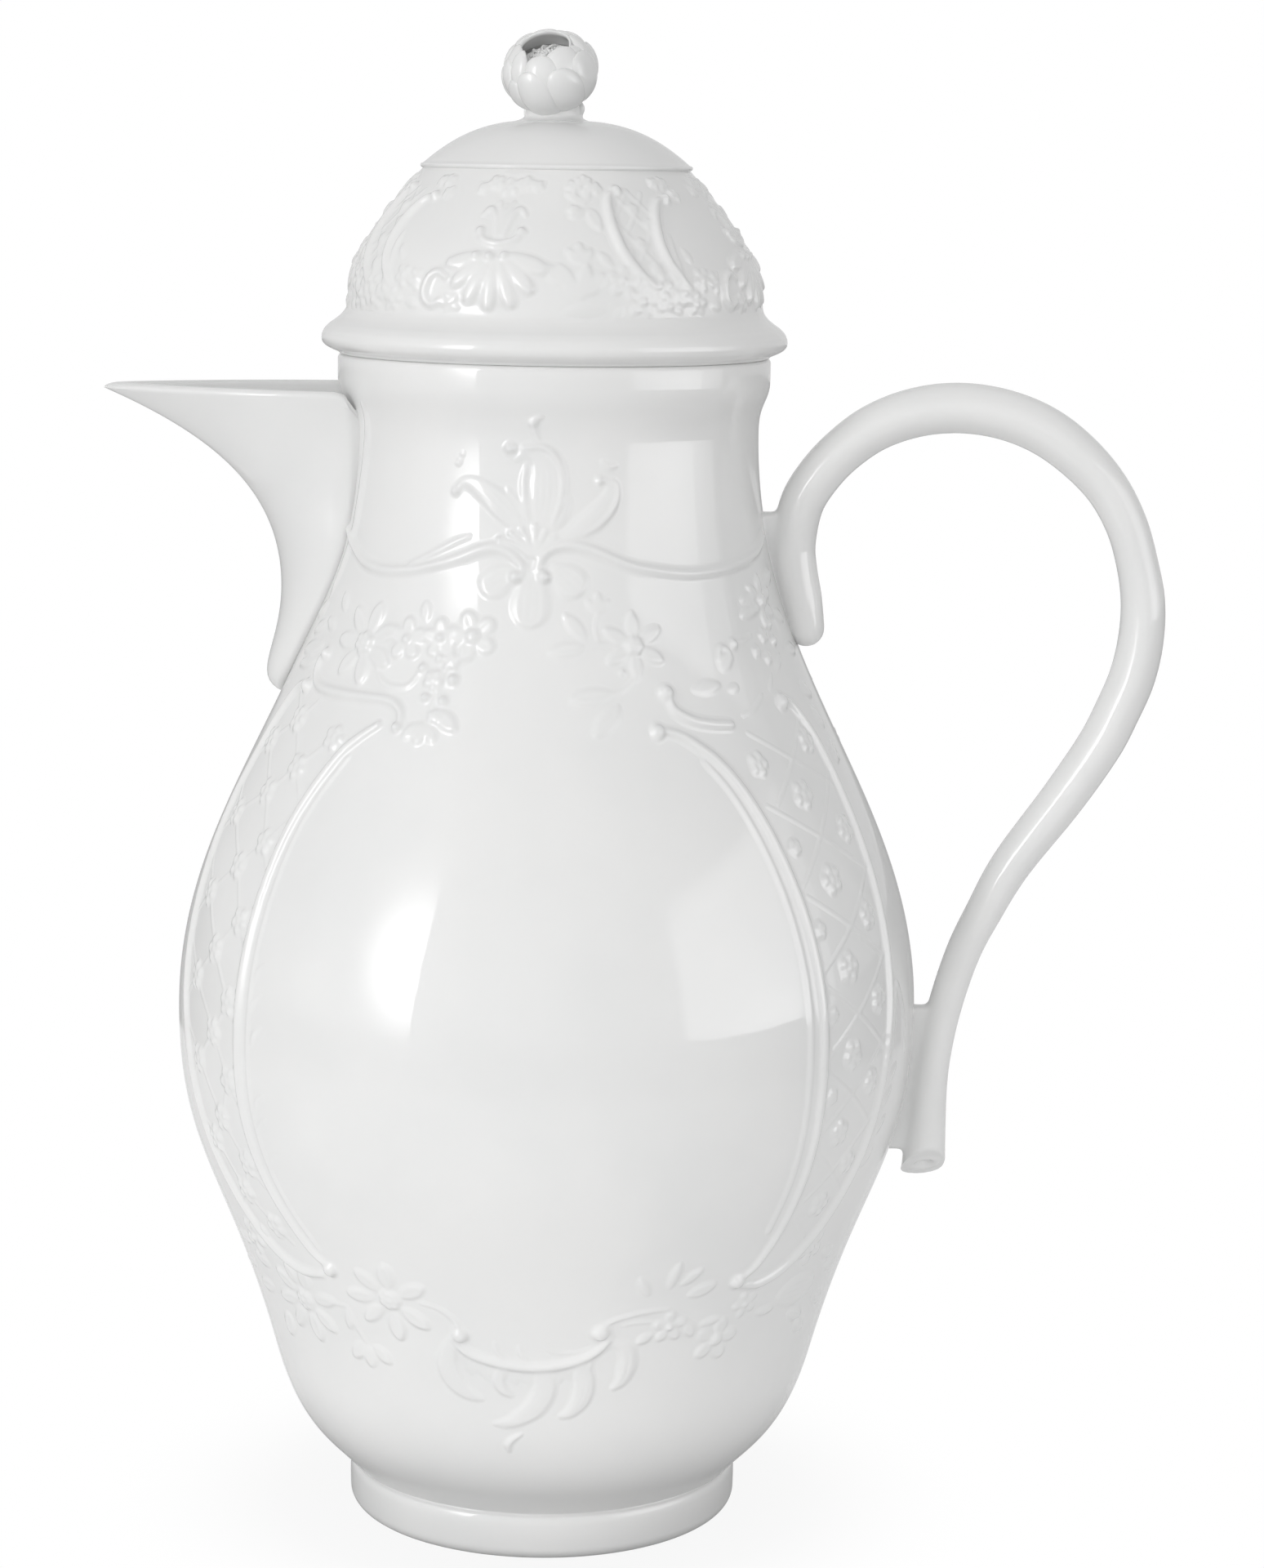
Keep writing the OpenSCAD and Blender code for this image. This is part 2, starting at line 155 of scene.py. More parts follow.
def finish(piece, glaze, body, slot, *nodes, sharp=None):
    """Smooths and glazes a piece, lets it ride on a body and stand for its measured nodes."""
    pick(piece)
    if sharp is None:
        bpy.ops.object.shade_smooth()
    else:
        bpy.ops.object.shade_smooth_by_angle(angle=math.radians(sharp))
    piece.data.materials.clear()
    piece.data.materials.append(glaze)
    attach(piece, body)
    if nodes:
        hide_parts(*nodes)
    low, high = read_points(piece).min(0), read_points(piece).max(0)
    print(f"{piece.name}: {triangles(piece)} triangles, mm {low.round(1)} to {high.round(1)}")


# %% [markdown]
# ## The glaze
# Porcelain is a white body under a clear glaze. The body scatters light softly, and the
# glaze mirrors the room sharply. A rough white base with a clear, smooth coat over it
# gives both. Fired glaze is never quite flat: it has a faint ripple a few millimetres
# long, which makes the edges of the reflections waver, and it gathers a little deeper in
# places, which shifts its tone by about a hundredth. `node`, `ramp` and `combined` add the
# nodes of a shader; the floor and the lamps use them too.

# %% Small helpers for shaders
def node(tree, kind, values=None, **settings):
    """Adds a node, with values for its sockets and its own settings."""
    made = tree.nodes.new(kind)
    for name, value in settings.items():
        setattr(made, name, value)
    for socket, value in (values or {}).items():
        made.inputs[socket].default_value = value
    return made


def ramp(tree, source, start, end, first, last, **settings):
    """Maps a value from one range to another."""
    ends = {"From Min": start, "From Max": end, "To Min": first, "To Max": last}
    made = node(tree, "ShaderNodeMapRange", ends, **settings)
    tree.links.new(source, made.inputs["Value"])
    return made.outputs["Result"]


def combined(tree, operation, one, other):
    """One value that two values make together."""
    made = node(tree, "ShaderNodeMath", operation=operation)
    tree.links.new(one, made.inputs[0])
    tree.links.new(other, made.inputs[1])
    return made.outputs["Value"]


# %% Make the glaze
GLAZE_TONE = (0.80, 0.80, 0.795)
GLAZE_TONE_DEEP = (0.765, 0.768, 0.765)


def make_glaze(name, ripple_mm, ripple_strength):
    """A white glazed porcelain with a faint ripple and a faint change of tone."""
    material = bpy.data.materials.new(name)
    material.use_nodes = True
    tree = material.node_tree
    link = tree.links.new
    tree.nodes.clear()
    output = node(tree, "ShaderNodeOutputMaterial")
    body = {"Roughness": 0.45, "IOR": 1.5, "Specular IOR Level": 0.3}
    coat = {"Coat Weight": 1.0, "Coat Roughness": 0.035, "Coat IOR": 1.5}
    shader = node(tree, "ShaderNodeBsdfPrincipled", body | coat)
    link(shader.outputs["BSDF"], output.inputs["Surface"])

    place = node(tree, "ShaderNodeTexCoord")
    clouds = node(tree, "ShaderNodeTexNoise", {"Scale": 28.0, "Detail": 3.0})
    link(place.outputs["Object"], clouds.inputs["Vector"])
    tone = node(tree, "ShaderNodeValToRGB")
    for end, position, colour in zip(tone.color_ramp.elements, (0.35, 0.60), (GLAZE_TONE_DEEP, GLAZE_TONE)):
        end.position = position
        end.color = (*colour, 1.0)
    link(clouds.outputs["Fac"], tone.inputs["Fac"])
    link(tone.outputs["Color"], shader.inputs["Base Color"])

    ripple = node(tree, "ShaderNodeTexNoise", {"Scale": 1.0 / (ripple_mm * MM), "Detail": 2.0})
    link(place.outputs["Object"], ripple.inputs["Vector"])
    bump = node(tree, "ShaderNodeBump", {"Strength": ripple_strength, "Distance": 0.0004})
    link(ripple.outputs["Fac"], bump.inputs["Height"])
    link(bump.outputs["Normal"], shader.inputs["Coat Normal"])
    return material


pot_glaze = make_glaze("glazed_porcelain", 9.0, 0.10)
lid_glaze = make_glaze("lid_glazed_porcelain", 9.0, 0.10)
print("glazes:", pot_glaze.name, lid_glaze.name)

# %% [markdown]
# ## The thrown shape
# A pot's body is round, so one line tells all of it: its profile. A potter's jigger
# turns a template of that line against the wet clay. Here each stretch of the line is a
# Bezier curve between two heights, and `spin` turns it round the upright axis. Spinning
# is right for this because every ring of the wall then is an exact circle, which the
# long reflections in the glaze need.

# %% Curves of the profile
def bezier(a, b, c, d, count):
    """Points along a cubic Bezier curve, the first one included."""
    t = np.linspace(0.0, 1.0, count)[:, None]
    a, b, c, d = (np.array(p, float) for p in (a, b, c, d))
    s = 1.0 - t
    return s ** 3 * a + 3 * s * s * t * b + 3 * s * t * t * c + t ** 3 * d


def arc(x, z, r, start, end, count):
    """Points along a circle's arc, in degrees."""
    t = np.radians(np.linspace(start, end, count))
    return np.stack([x + r * np.cos(t), z + r * np.sin(t)], axis=1)


def chained(*parts):
    """Joins stretches of a line and drops doubled points."""
    line = np.vstack([np.atleast_2d(np.array(p, float)) for p in parts])
    step = np.hypot(*np.diff(line, axis=0).T)
    return line[np.concatenate([[True], step > 0.02])]


def moved_left(line, distance):
    """Moves every point of a line square to it."""
    run = np.gradient(line, axis=0)
    run /= np.hypot(run[:, 0], run[:, 1])[:, None]
    return line + distance * np.stack([-run[:, 1], run[:, 0]], axis=1)


RING_R = 33.2
RING_H = 8.5
BOWL = np.array([46.2, 29.1])
BOWL_LEAN = math.radians(15)
BELLY_R = 62.35
BELLY_Z = 87.5
NECK_R = 34.0
NECK_Z = 185.0
COLLAR_R = 35.8
COLLAR_Z = 190.0
RIM_Z = 197.2
WALL = 3.3
lean = np.array([math.sin(BOWL_LEAN), math.cos(BOWL_LEAN)])
bowl_line = bezier(
    (RING_R + 0.4, RING_H), (RING_R + 4.8, RING_H + 5.4), BOWL - 0.5 * BOWL[1] * lean, BOWL, 24
)
flank_line = bezier(BOWL, BOWL + 1.12 * BOWL[1] * lean, (BELLY_R, BELLY_Z - 24.4), (BELLY_R, BELLY_Z), 44)
shoulder_line = bezier(
    (BELLY_R, BELLY_Z), (BELLY_R, BELLY_Z + 36.8), (NECK_R, NECK_Z - 41.5), (NECK_R, NECK_Z), 76
)
collar_line = bezier((NECK_R, NECK_Z), (NECK_R, COLLAR_Z), (COLLAR_R, COLLAR_Z), (COLLAR_R, RIM_Z - 3.6), 16)
pot_side = chained(bowl_line, flank_line, shoulder_line, collar_line)
print("pot side:", len(pot_side), "points, widest", pot_side[:, 0].max(), "mm")

# %% Draw a line and spin it
def drawn_line(name, line):
    """A line of edges in the XZ plane, extruded from one point to the next."""
    let_go()
    bpy.ops.mesh.primitive_plane_add(size=MM, location=(line[0][0] * MM, 0.0, line[0][1] * MM))
    piece = bpy.context.object
    bpy.ops.object.transform_apply(location=True, rotation=True, scale=True)
    bpy.ops.object.mode_set(mode="EDIT")
    bpy.ops.mesh.select_all(action="SELECT")
    bpy.ops.mesh.merge(type="CENTER")
    for step in np.diff(line, axis=0) * MM:
        bpy.ops.mesh.extrude_vertices_move(TRANSFORM_OT_translate={"value": (step[0], 0.0, step[1])})
    bpy.ops.object.mode_set(mode="OBJECT")
    return named(piece, name)


def spun(name, line, steps):
    """Spins a line round the upright axis and closes the seam and the poles."""
    piece = pick(drawn_line(name, line))
    bpy.ops.object.mode_set(mode="EDIT")
    bpy.ops.mesh.select_all(action="SELECT")
    bpy.ops.mesh.spin(steps=steps, angle=2 * math.pi, center=(0, 0, 0), axis=(0, 0, 1))
    bpy.ops.object.mode_set(mode="OBJECT")
    weld_outwards(piece)
    return piece


# %% [markdown]
# ## Pot body
# The real wall is about 3 mm thick all over, so the inside is the outside moved in by
# the wall. The foot is a standing ring round a shallow recess, and only the ring's
# narrow ground face touches the table; a fine groove parts ring and bowl. The rim has
# rounded edges. The profile is one closed line from the recess round to the floor.

# %% Spin the pot body
SPIN_STEPS = 240
throat_r = NECK_R - WALL
ring_line = chained(
    [(0.0, 4.2), (6.0, 4.2), (14.0, 4.2), (20.0, 4.2), (24.0, 4.15)],
    arc(24.6, 1.2, 2.95, 90, 12, 7),
    [(27.7, 0.9)],
    arc(28.6, 0.45, 0.45, 200, 270, 4),
    [(29.5, 0.0), (30.4, 0.0)],
    arc(RING_R - 2.2, 2.2, 2.2, -80, 0, 9),
    [(RING_R + 0.05, 4.4), (RING_R + 0.02, 6.2), (RING_R - 0.1, 7.2)],
    arc(RING_R - 0.2, 8.05, 0.42, 250, 180, 5),
    arc(RING_R - 0.2, 8.05, 0.42, 180, 120, 4)[1:],
)
inner_side = moved_left(chained(bowl_line, flank_line, shoulder_line), WALL)
inner_side = inner_side[inner_side[:, 1] < NECK_Z - 1]
floor_line = chained(
    inner_side[::-1][::2],
    bezier(inner_side[0], inner_side[0] + (-2.4, -3.0), (24.0, 8.9), (17.0, 8.8), 9)[1:],
    [(10.0, 8.8), (4.0, 8.8), (0.0, 8.8)],
)
pot_line = chained(
    ring_line,
    bowl_line,
    flank_line,
    shoulder_line,
    collar_line,
    [(COLLAR_R, RIM_Z - 2.2)],
    arc(COLLAR_R - 0.9, RIM_Z - 0.9, 0.9, 0, 90, 7),
    arc(throat_r + 0.8, RIM_Z - 0.8, 0.8, 90, 180, 6),
    [(throat_r, RIM_Z - 4), (throat_r, NECK_Z + 3), (throat_r, NECK_Z - 0.5)],
    floor_line,
)
pot_body = spun("pot_wall", pot_line, SPIN_STEPS)
print("pot body:", len(pot_body.data.vertices), "points")

# %% [markdown]
# Coffee leaves through an upright opening in the wall behind the beak, cut while the
# clay is leather-hard. A long rounded plug is cut out of the wall with a Boolean.

# %% Cut the pouring opening
POUR_HALF = 9.0
POUR_LOW = 152.0
POUR_TOP = 187.0
let_go()
bpy.ops.mesh.primitive_cylinder_add(
    vertices=64, radius=POUR_HALF * MM, depth=34 * MM, location=(-33 * MM, 0, 0), rotation=(0, math.pi / 2, 0)
)
plug = bpy.context.object
bpy.ops.object.transform_apply(location=True, rotation=True, scale=True)
points = read_points(plug)
upper = points[:, 2] > 0
points[:, 2] += np.where(upper, POUR_TOP - POUR_HALF, POUR_LOW + POUR_HALF)
write_points(plug, points)
apply_modifier(pot_body, "BOOLEAN", operation="DIFFERENCE", solver="EXACT", object=plug)
bpy.data.objects.remove(plug)
finish(pot_body, pot_glaze, "pot", "glazed_porcelain", "pot_body", sharp=35)

# %% [markdown]
# ## Sheets, splines and lofts
# Every other form here is a sheet of points: rows of sections laid one after another, as
# a modeller lays ribs and skins over them. A grid primitive already has its faces in
# that order, so its points only have to be moved to their places.

# %% A sheet from rows of points
def sheet(name, rows):
    """A grid primitive whose points are moved to rows x columns of places in millimetres."""
    rows = np.asarray(rows, float)
    let_go()
    bpy.ops.mesh.primitive_grid_add(
        x_subdivisions=rows.shape[1] - 1, y_subdivisions=rows.shape[0] - 1, size=MM
    )
    piece = named(bpy.context.object, name)
    write_points(piece, rows.reshape(-1, 3))
    return piece


def close_ends(piece):
    """Fills the open ends of a tube."""
    pick(piece)
    bpy.ops.object.mode_set(mode="EDIT")
    bpy.ops.mesh.select_all(action="SELECT")
    bpy.ops.mesh.fill_holes(sides=0)
    bpy.ops.mesh.normals_make_consistent(inside=False)
    bpy.ops.object.mode_set(mode="OBJECT")


def spline(stations, per_step):
    """A smooth curve through stations, with per_step points for each step."""
    p = np.asarray(stations, float)
    if p.ndim == 1:
        p = p[:, None]
    p = np.vstack([2 * p[0] - p[1], p, 2 * p[-1] - p[-2]])
    t = np.linspace(0.0, 1.0, per_step, endpoint=False)[:, None]
    runs = []
    for a, b, c, d in zip(p[:-3], p[1:-2], p[2:-1], p[3:]):
        curve = 2 * b + t * (c - a)
        curve = curve + t ** 2 * (2 * a - 5 * b + 4 * c - d)
        curve = curve + t ** 3 * (3 * b - a - 3 * c + d)
        runs.append(0.5 * curve)
    return np.vstack(runs + [p[-2][None]])


def evenly(line, count):
    """The same curve with its points spread evenly along it."""
    length = np.concatenate([[0.0], np.cumsum(np.sqrt((np.diff(line[:, :2], axis=0) ** 2).sum(1)))])
    at = np.linspace(0.0, length[-1], count)
    return np.stack([np.interp(at, length, column) for column in line.T], axis=1)


def pot_r(z):
    """Radius of the pot's outside at a height."""
    return np.interp(z, pot_side[:, 1], pot_side[:, 0])


# %% [markdown]
# ## Beak
# The beak is cast on its own as an open trough and fixed over the opening with slip. Its
# keel rises from a small chin, pulls in to a waist and sweeps out to a pointed tip. Level
# sections tell it best: each one is a rounded nose whose sides run back to the neck. The
# edges of the trough are rolled over, both along the pouring edge and down the neck,
# where the roll leaves a fine dark crease.

# %% Loft the beak
BEAK_REACH = 75.4
EDGE_Z = 191.4
LIP = 1.0
CHIN_Z = 140.0
WAIST_Z = 158.0
BEAK_WALL = 2.6
EDGE_ROLL = 1.5
waist_x = float(pot_r(WAIST_Z)) + 7.2
chin_x = float(pot_r(CHIN_Z))
keel = chained(
    bezier(
        (chin_x, CHIN_Z), (chin_x + 5.6, CHIN_Z + 2.6), (waist_x, WAIST_Z - 10), (waist_x, WAIST_Z), 30
    ),
    bezier(
        (waist_x, WAIST_Z), (waist_x, WAIST_Z + 16), (BEAK_REACH - 17.8, EDGE_Z - 8.4),
        (BEAK_REACH, EDGE_Z - LIP), 60
    ),
)
# half the beak's width where it meets the neck, at a few heights
beak_half = spline([
    (CHIN_Z, 1.6), (144, 5.6), (148.7, 8.3), (156.2, 12.4), (164.7, 15.0), (175, 15.4), (184, 15.8),
    (EDGE_Z, 16.6)
], 8)
outer_keel = evenly(keel, 72)
inner_keel = moved_left(keel, BEAK_WALL)
inner_end = np.interp(EDGE_Z - LIP, inner_keel[:, 1], inner_keel[:, 0])
inner_keel = inner_keel[(inner_keel[:, 1] < EDGE_Z - LIP) & (inner_keel[:, 1] > POUR_LOW + 1)]
inner_keel = evenly(np.vstack([inner_keel, [inner_end, EDGE_Z - LIP]]), 48)
across = np.radians(np.linspace(-90, 90, 81))


def beak_section(z, nose, thinner, roll):
    """One level section from the neck round the nose and back to the neck."""
    half = max(np.interp(z, beak_half[:, 0], beak_half[:, 1]) - thinner, 0.4)
    neck = float(pot_r(z))
    root = math.sqrt(max(neck ** 2 - half ** 2, 1.0)) - 0.1
    blunt = 0.3 + 0.7 * np.clip((EDGE_Z - z) / 40, 0, 1)
    turn = np.abs(across)
    s = 1 - np.cos(turn)
    width = (1 - blunt) * np.sin(s * math.pi / 2) + blunt * np.sin(turn)
    x = nose - s * (nose - root)
    # the last stretch before the neck rolls inwards
    near = np.clip(1 - (x - root) / max(roll, 0.01), 0, 1)
    y = half * width - roll * (1 - np.sqrt(1 - near ** 2)) * 0.9
    y = np.maximum(y, 0.0) * np.sign(across)
    # the pouring edge turns down where it meets the neck
    corner = np.clip(1 - (x - root) / 3.4, 0, 1)
    high = np.clip((z - 150) / (EDGE_Z - 150), 0, 1) ** 4
    level = z - 3.2 * (1 - np.sqrt(1 - corner ** 2)) * high
    rows = np.stack([-x, y, level], axis=1)
    # both ends run on into the wall of the neck
    tail = rows[[0, -1]] + np.array([[2.0, 0, 0], [2.0, 0, 0]])
    return np.vstack([tail[:1], rows, tail[1:]])


outer_rows = [beak_section(z, max(x, float(pot_r(z)) + 0.05), 0.0, EDGE_ROLL) for x, z in outer_keel]
inner_rows = [beak_section(z, x, 2.0, 0.0) for x, z in inner_keel]
middle = (outer_rows[-1] + inner_rows[-1]) / 2
reach = (outer_rows[-1] - inner_rows[-1]) / 2
lip_rows = []
for turn in np.radians([15, 30, 50, 70, 90, 110, 130, 150, 165]):
    lip_rows.append(middle + reach * math.cos(turn) + np.array([0, 0, LIP * math.sin(turn)]))
beak = sheet("beak", outer_rows + lip_rows + inner_rows[::-1] + outer_rows[:1])
weld_outwards(beak, 0.02)
close_ends(beak)
finish(beak, pot_glaze, "pot", "glazed_porcelain", "beak_spout", sharp=60)

# %% [markdown]
# ## Handle
# The handle is a pulled strap of clay, a little wider than it is thick and slimmer
# towards its tail. It never touches the pot by itself: its short upper end and its long
# tail are each joined to the wall by a narrow web of clay. A tube through a row of
# stations gives the strap, two thin plates give the webs, and a voxel remesh fuses them
# as wet clay does, with soft fillets in the corners after smoothing.

# %% Sweep the strap
UPPER_X = float(pot_r(160.5)) + 5.0
LOWER_X = BELLY_R + 5.0
strap_stations = [
    (42.6, 152.5, 6.2), (41.7, 157.5, 6.9), (40.7, 162.0, 7.2), (40.25, 166.5, 7.3), (41.2, 172.6, 7.4),
    (43.3, 176.8, 7.5), (47.3, 181.6, 7.6), (53.0, 186.0, 7.9), (59.8, 188.7, 8.2), (67.0, 189.6, 8.35),
    (74.3, 188.7, 8.3), (81.05, 186.15, 8.2), (86.9, 182.0, 7.85), (91.7, 176.9, 7.3), (95.1, 170.9, 7.0),
    (97.1, 164.6, 6.95), (98.3, 158.2, 7.35), (98.2, 151.8, 7.6), (97.0, 145.5, 7.7), (94.7, 139.6, 7.65),
    (91.9, 133.7, 7.6), (86.1, 124.65, 7.4), (78.0, 113.3, 6.8), (73.5, 104.8, 6.2), (70.2, 97.5, 5.9),
    (67.3, 87.5, 5.8), (65.6, 77.5, 5.9), (64.95, 67.5, 6.75), (64.65, 59.3, 7.65),
]
strap = evenly(spline(strap_stations, 12), 320)
STRAP_SIDES = 48
STRAP_WIDTH = 1.16
around = np.linspace(0, 2 * math.pi, STRAP_SIDES, endpoint=False)


def strap_ring(point, run, thickness, squeeze=1.0, push=0.0):
    """One ring of the strap, square to its run; a soft ridge follows its two sides."""
    run = run / np.hypot(*run)
    ridge = 1 + 0.045 * np.exp(-((np.abs(np.sin(around)) - 1) / 0.12) ** 2)
    half = thickness / 2 * squeeze
    out = half * np.cos(around)
    wide = -half * STRAP_WIDTH * np.sin(around) * ridge
    x = point[0] + push * run[0] - out * run[1]
    z = point[1] + push * run[1] + out * run[0]
    return np.stack([x, wide, z], axis=1)


runs = np.gradient(strap[:, :2], axis=0)
rings = []
first_half, last_half = strap[0, 2] / 2, strap[-1, 2] / 2
for turn in np.radians([86, 70, 54, 38, 22, 8]):
    rings.append(strap_ring(strap[0], runs[0], strap[0, 2], math.cos(turn), -first_half * math.sin(turn)))
for point, run in zip(strap, runs):
    rings.append(strap_ring(point, run, point[2]))
for turn in np.radians([15, 35, 55, 70]):
    push = 0.42 * last_half * math.sin(turn)
    rings.append(strap_ring(strap[-1], runs[-1], strap[-1, 2], math.cos(turn), push))
rings = np.array(rings)
rings = np.concatenate([rings, rings[:, :1]], axis=1)
handle = sheet("handle_strap", rings)
weld_outwards(handle)
close_ends(handle)
print("strap length", round(float(np.hypot(*runs.T).sum()), 1), "mm")

# %% Add the webs and fuse them
def strap_x(z, upper):
    """Where the strap's centre line stands at a height, near the pot."""
    near = strap[:130] if upper else strap[-130:]
    near = near[near[:, 0] < (UPPER_X + 5 if upper else LOWER_X + 5)]
    order = np.argsort(near[:, 1])
    return np.interp(z, near[order, 1], near[order, 0])


def web(name, low, high, upper, half_thick):
    """A plate of clay between wall and strap, flared a little where it meets the wall."""
    heights = np.linspace(low, high, 41)
    rows = []
    for share, flare in ((-0.12, 1.9), (0.0, 1.9), (0.1, 1.35), (0.25, 1.05), (0.5, 1.0), (1.0, 1.0)):
        wall_x = pot_r(heights) - 1.2
        reach = strap_x(heights, upper) - wall_x
        x = wall_x + share * reach
        rows.append((x, flare * half_thick))
    left = [np.stack([x, np.full_like(x, -half), heights], axis=1) for x, half in rows]
    right = [np.stack([x, np.full_like(x, half), heights], axis=1) for x, half in rows[::-1]]
    plate = sheet(name, left + right + left[:1])
    weld_outwards(plate)
    close_ends(plate)
    return plate


HANDLE_VOXEL = 0.00045
FACE_AT = np.array([64.65, 0.0, 60.9])
TAIL_TOP = 70
upper_web = web("upper_web", 151.5, 171.8, True, 1.9)
lower_web = web("lower_web", 63.6, 88.6, False, 1.5)
handle = joined([handle, upper_web, lower_web], "handle_strap_and_webs")
apply_modifier(handle, "REMESH", mode="VOXEL", voxel_size=HANDLE_VOXEL, adaptivity=0.0)
# the tail is sliced off aslant, so that its end face looks down and to the front
face_way = unit([0.2, -0.62, -0.76])
points = read_points(handle)
beyond = np.clip((points - FACE_AT) @ face_way, 0.0, None)
beyond[points[:, 2] >= TAIL_TOP] = 0.0
write_points(handle, points - beyond[:, None] * face_way)
apply_modifier(handle, "SMOOTH", factor=0.5, iterations=10)
print("handle:", triangles(handle), "triangles after the remesh")

# %% [markdown]
# The round end face has a shallow dimple with a soft ridge over it, pressed in by a
# fingertip after the cut. We push the points near it in and let them fade out again.

# %% Press the dimple
face_side = unit(np.array([1.0, 0.0, 0.0]) - face_way[0] * face_way)
face_up = np.cross(face_side, face_way)
points = read_points(handle)
offset = points - FACE_AT
aside = np.hypot(offset @ face_side / 1.2, offset @ face_up)
facing = np.clip((offset @ face_way + 1.6) / 0.8, 0, 1) * (points[:, 2] < TAIL_TOP)
press = facing * (1.1 * np.exp(-(aside / 0.95) ** 2) - 0.2 * np.exp(-((aside - 1.9) / 0.6) ** 2))
write_points(handle, points - press[:, None] * face_way)
finish(handle, pot_glaze, "pot", "glazed_porcelain", "handle")

# %% [markdown]
# ## Lid
# The lid is spun like the pot: a rolled brim, a dome with a plain crown that stands a
# hair proud of the carved band below it, and inside a flange that drops into the pot's
# mouth with a little play.

# %% Spin the lid
BRIM_R = 38.5
DOME_R = 34.2
DOME_FOOT = RIM_Z + 9
DOME_TOP = RIM_Z + 37.6
LEDGE_R = 22.0
LEDGE_Z = RIM_Z + 30.2
LEDGE_STEP = 0.5
CROWN_TOP = DOME_TOP + 0.5
STEM_R = 4.4
STEM_X = -0.65
LID_WALL = 3.0
FLANGE_PLAY = 0.6
FLANGE_WALL = 2.6
FLANGE_LOW = RIM_Z - 11.1
FLANGE_EDGE = 0.9
flange_r = throat_r - FLANGE_PLAY
lid_in_r = flange_r - FLANGE_WALL
lid_side = chained(
    [(DOME_R + 0.3, RIM_Z + 7.3), (DOME_R + 0.16, RIM_Z + 7.9), (DOME_R + 0.05, RIM_Z + 8.5)],
    bezier(
        (DOME_R, DOME_FOOT), (DOME_R, DOME_FOOT + 8.5), (LEDGE_R + 3.8, LEDGE_Z - 4.6),
        (LEDGE_R, LEDGE_Z), 34
    ),
)
crown_line = bezier(
    (LEDGE_R - 0.15, LEDGE_Z + LEDGE_STEP + 0.38), (LEDGE_R - 5, LEDGE_Z + 5.1),
    (STEM_R + 7.5, CROWN_TOP - 0.15), (STEM_R, CROWN_TOP), 30
)
brim_line = spline([
    (BRIM_R - 0.06, RIM_Z + 3.05), (BRIM_R - 0.45, RIM_Z + 3.9), (BRIM_R - 1.2, RIM_Z + 4.7),
    (BRIM_R - 2.1, RIM_Z + 5.35), (BRIM_R - 3.0, RIM_Z + 6.05), (BRIM_R - 3.6, RIM_Z + 6.7),
    (BRIM_R - 3.82, RIM_Z + 7.02)
], 5)
dome_inside = moved_left(chained(crown_line[::-1], lid_side[::-1]), -LID_WALL)
dome_inside = dome_inside[(dome_inside[:, 1] > DOME_FOOT + 0.5) & (dome_inside[:, 0] > 3)]
dome_inside[:, 0] = np.minimum(dome_inside[:, 0], lid_in_r + 2.2)
lid_line = chained(
    arc(lid_in_r + FLANGE_EDGE, FLANGE_LOW, FLANGE_EDGE, 180, 270, 5),
    arc(flange_r - FLANGE_EDGE, FLANGE_LOW, FLANGE_EDGE, 270, 360, 5),
    [(flange_r, RIM_Z - 6), (flange_r, RIM_Z - 1), (flange_r, RIM_Z)],
    [(COLLAR_R - 2.0, RIM_Z), (COLLAR_R - 0.3, RIM_Z)],
    bezier(
        (COLLAR_R + 0.1, RIM_Z + 0.35), (BRIM_R - 0.9, RIM_Z + 1.0), (BRIM_R - 0.02, RIM_Z + 1.4),
        (BRIM_R, RIM_Z + 2.5), 12
    ),
    brim_line, lid_side, arc(LEDGE_R, LEDGE_Z + 0.45, 0.38, -80, 60, 7), crown_line,
    [(2.2, CROWN_TOP), (0.0, CROWN_TOP)],
)
lid_line = chained(
    lid_line, [(0.0, DOME_TOP - LID_WALL), (1.5, DOME_TOP - LID_WALL)], dome_inside,
    [
        (lid_in_r + 2.2, RIM_Z + 7), (lid_in_r + 1.6, RIM_Z + 4.5), (lid_in_r + 0.5, RIM_Z + 2),
        (lid_in_r, RIM_Z)
    ],
    [(lid_in_r, RIM_Z - 6), (lid_in_r, FLANGE_LOW)],
)
lid_dome = spun("lid_shell", lid_line, SPIN_STEPS)
finish(lid_dome, lid_glaze, "lid", "lid_porcelain", "lid_dome", sharp=40)

# %% [markdown]
# ## Carved ornament
# The ornament was cut into the plaster mould, so on the pot it is one skin with the
# wall: it swells out, mostly by less than a millimetre, and the glaze softens every
# edge. Loose leaves laid on the wall would leave hard lines round them. So each group of
# ornament is carved as a height over its own even grid on the wall: a bead, a petal, a
# rib or a flute each raises the grid where it lies, the whole is softened a little as
# glaze does, and the grid is then wrapped on the wall. Places are given as a turn in
# degrees from the front, with the handle at 90, and a height in millimetres.

# %% A grid that can be carved
CELL = 0.265


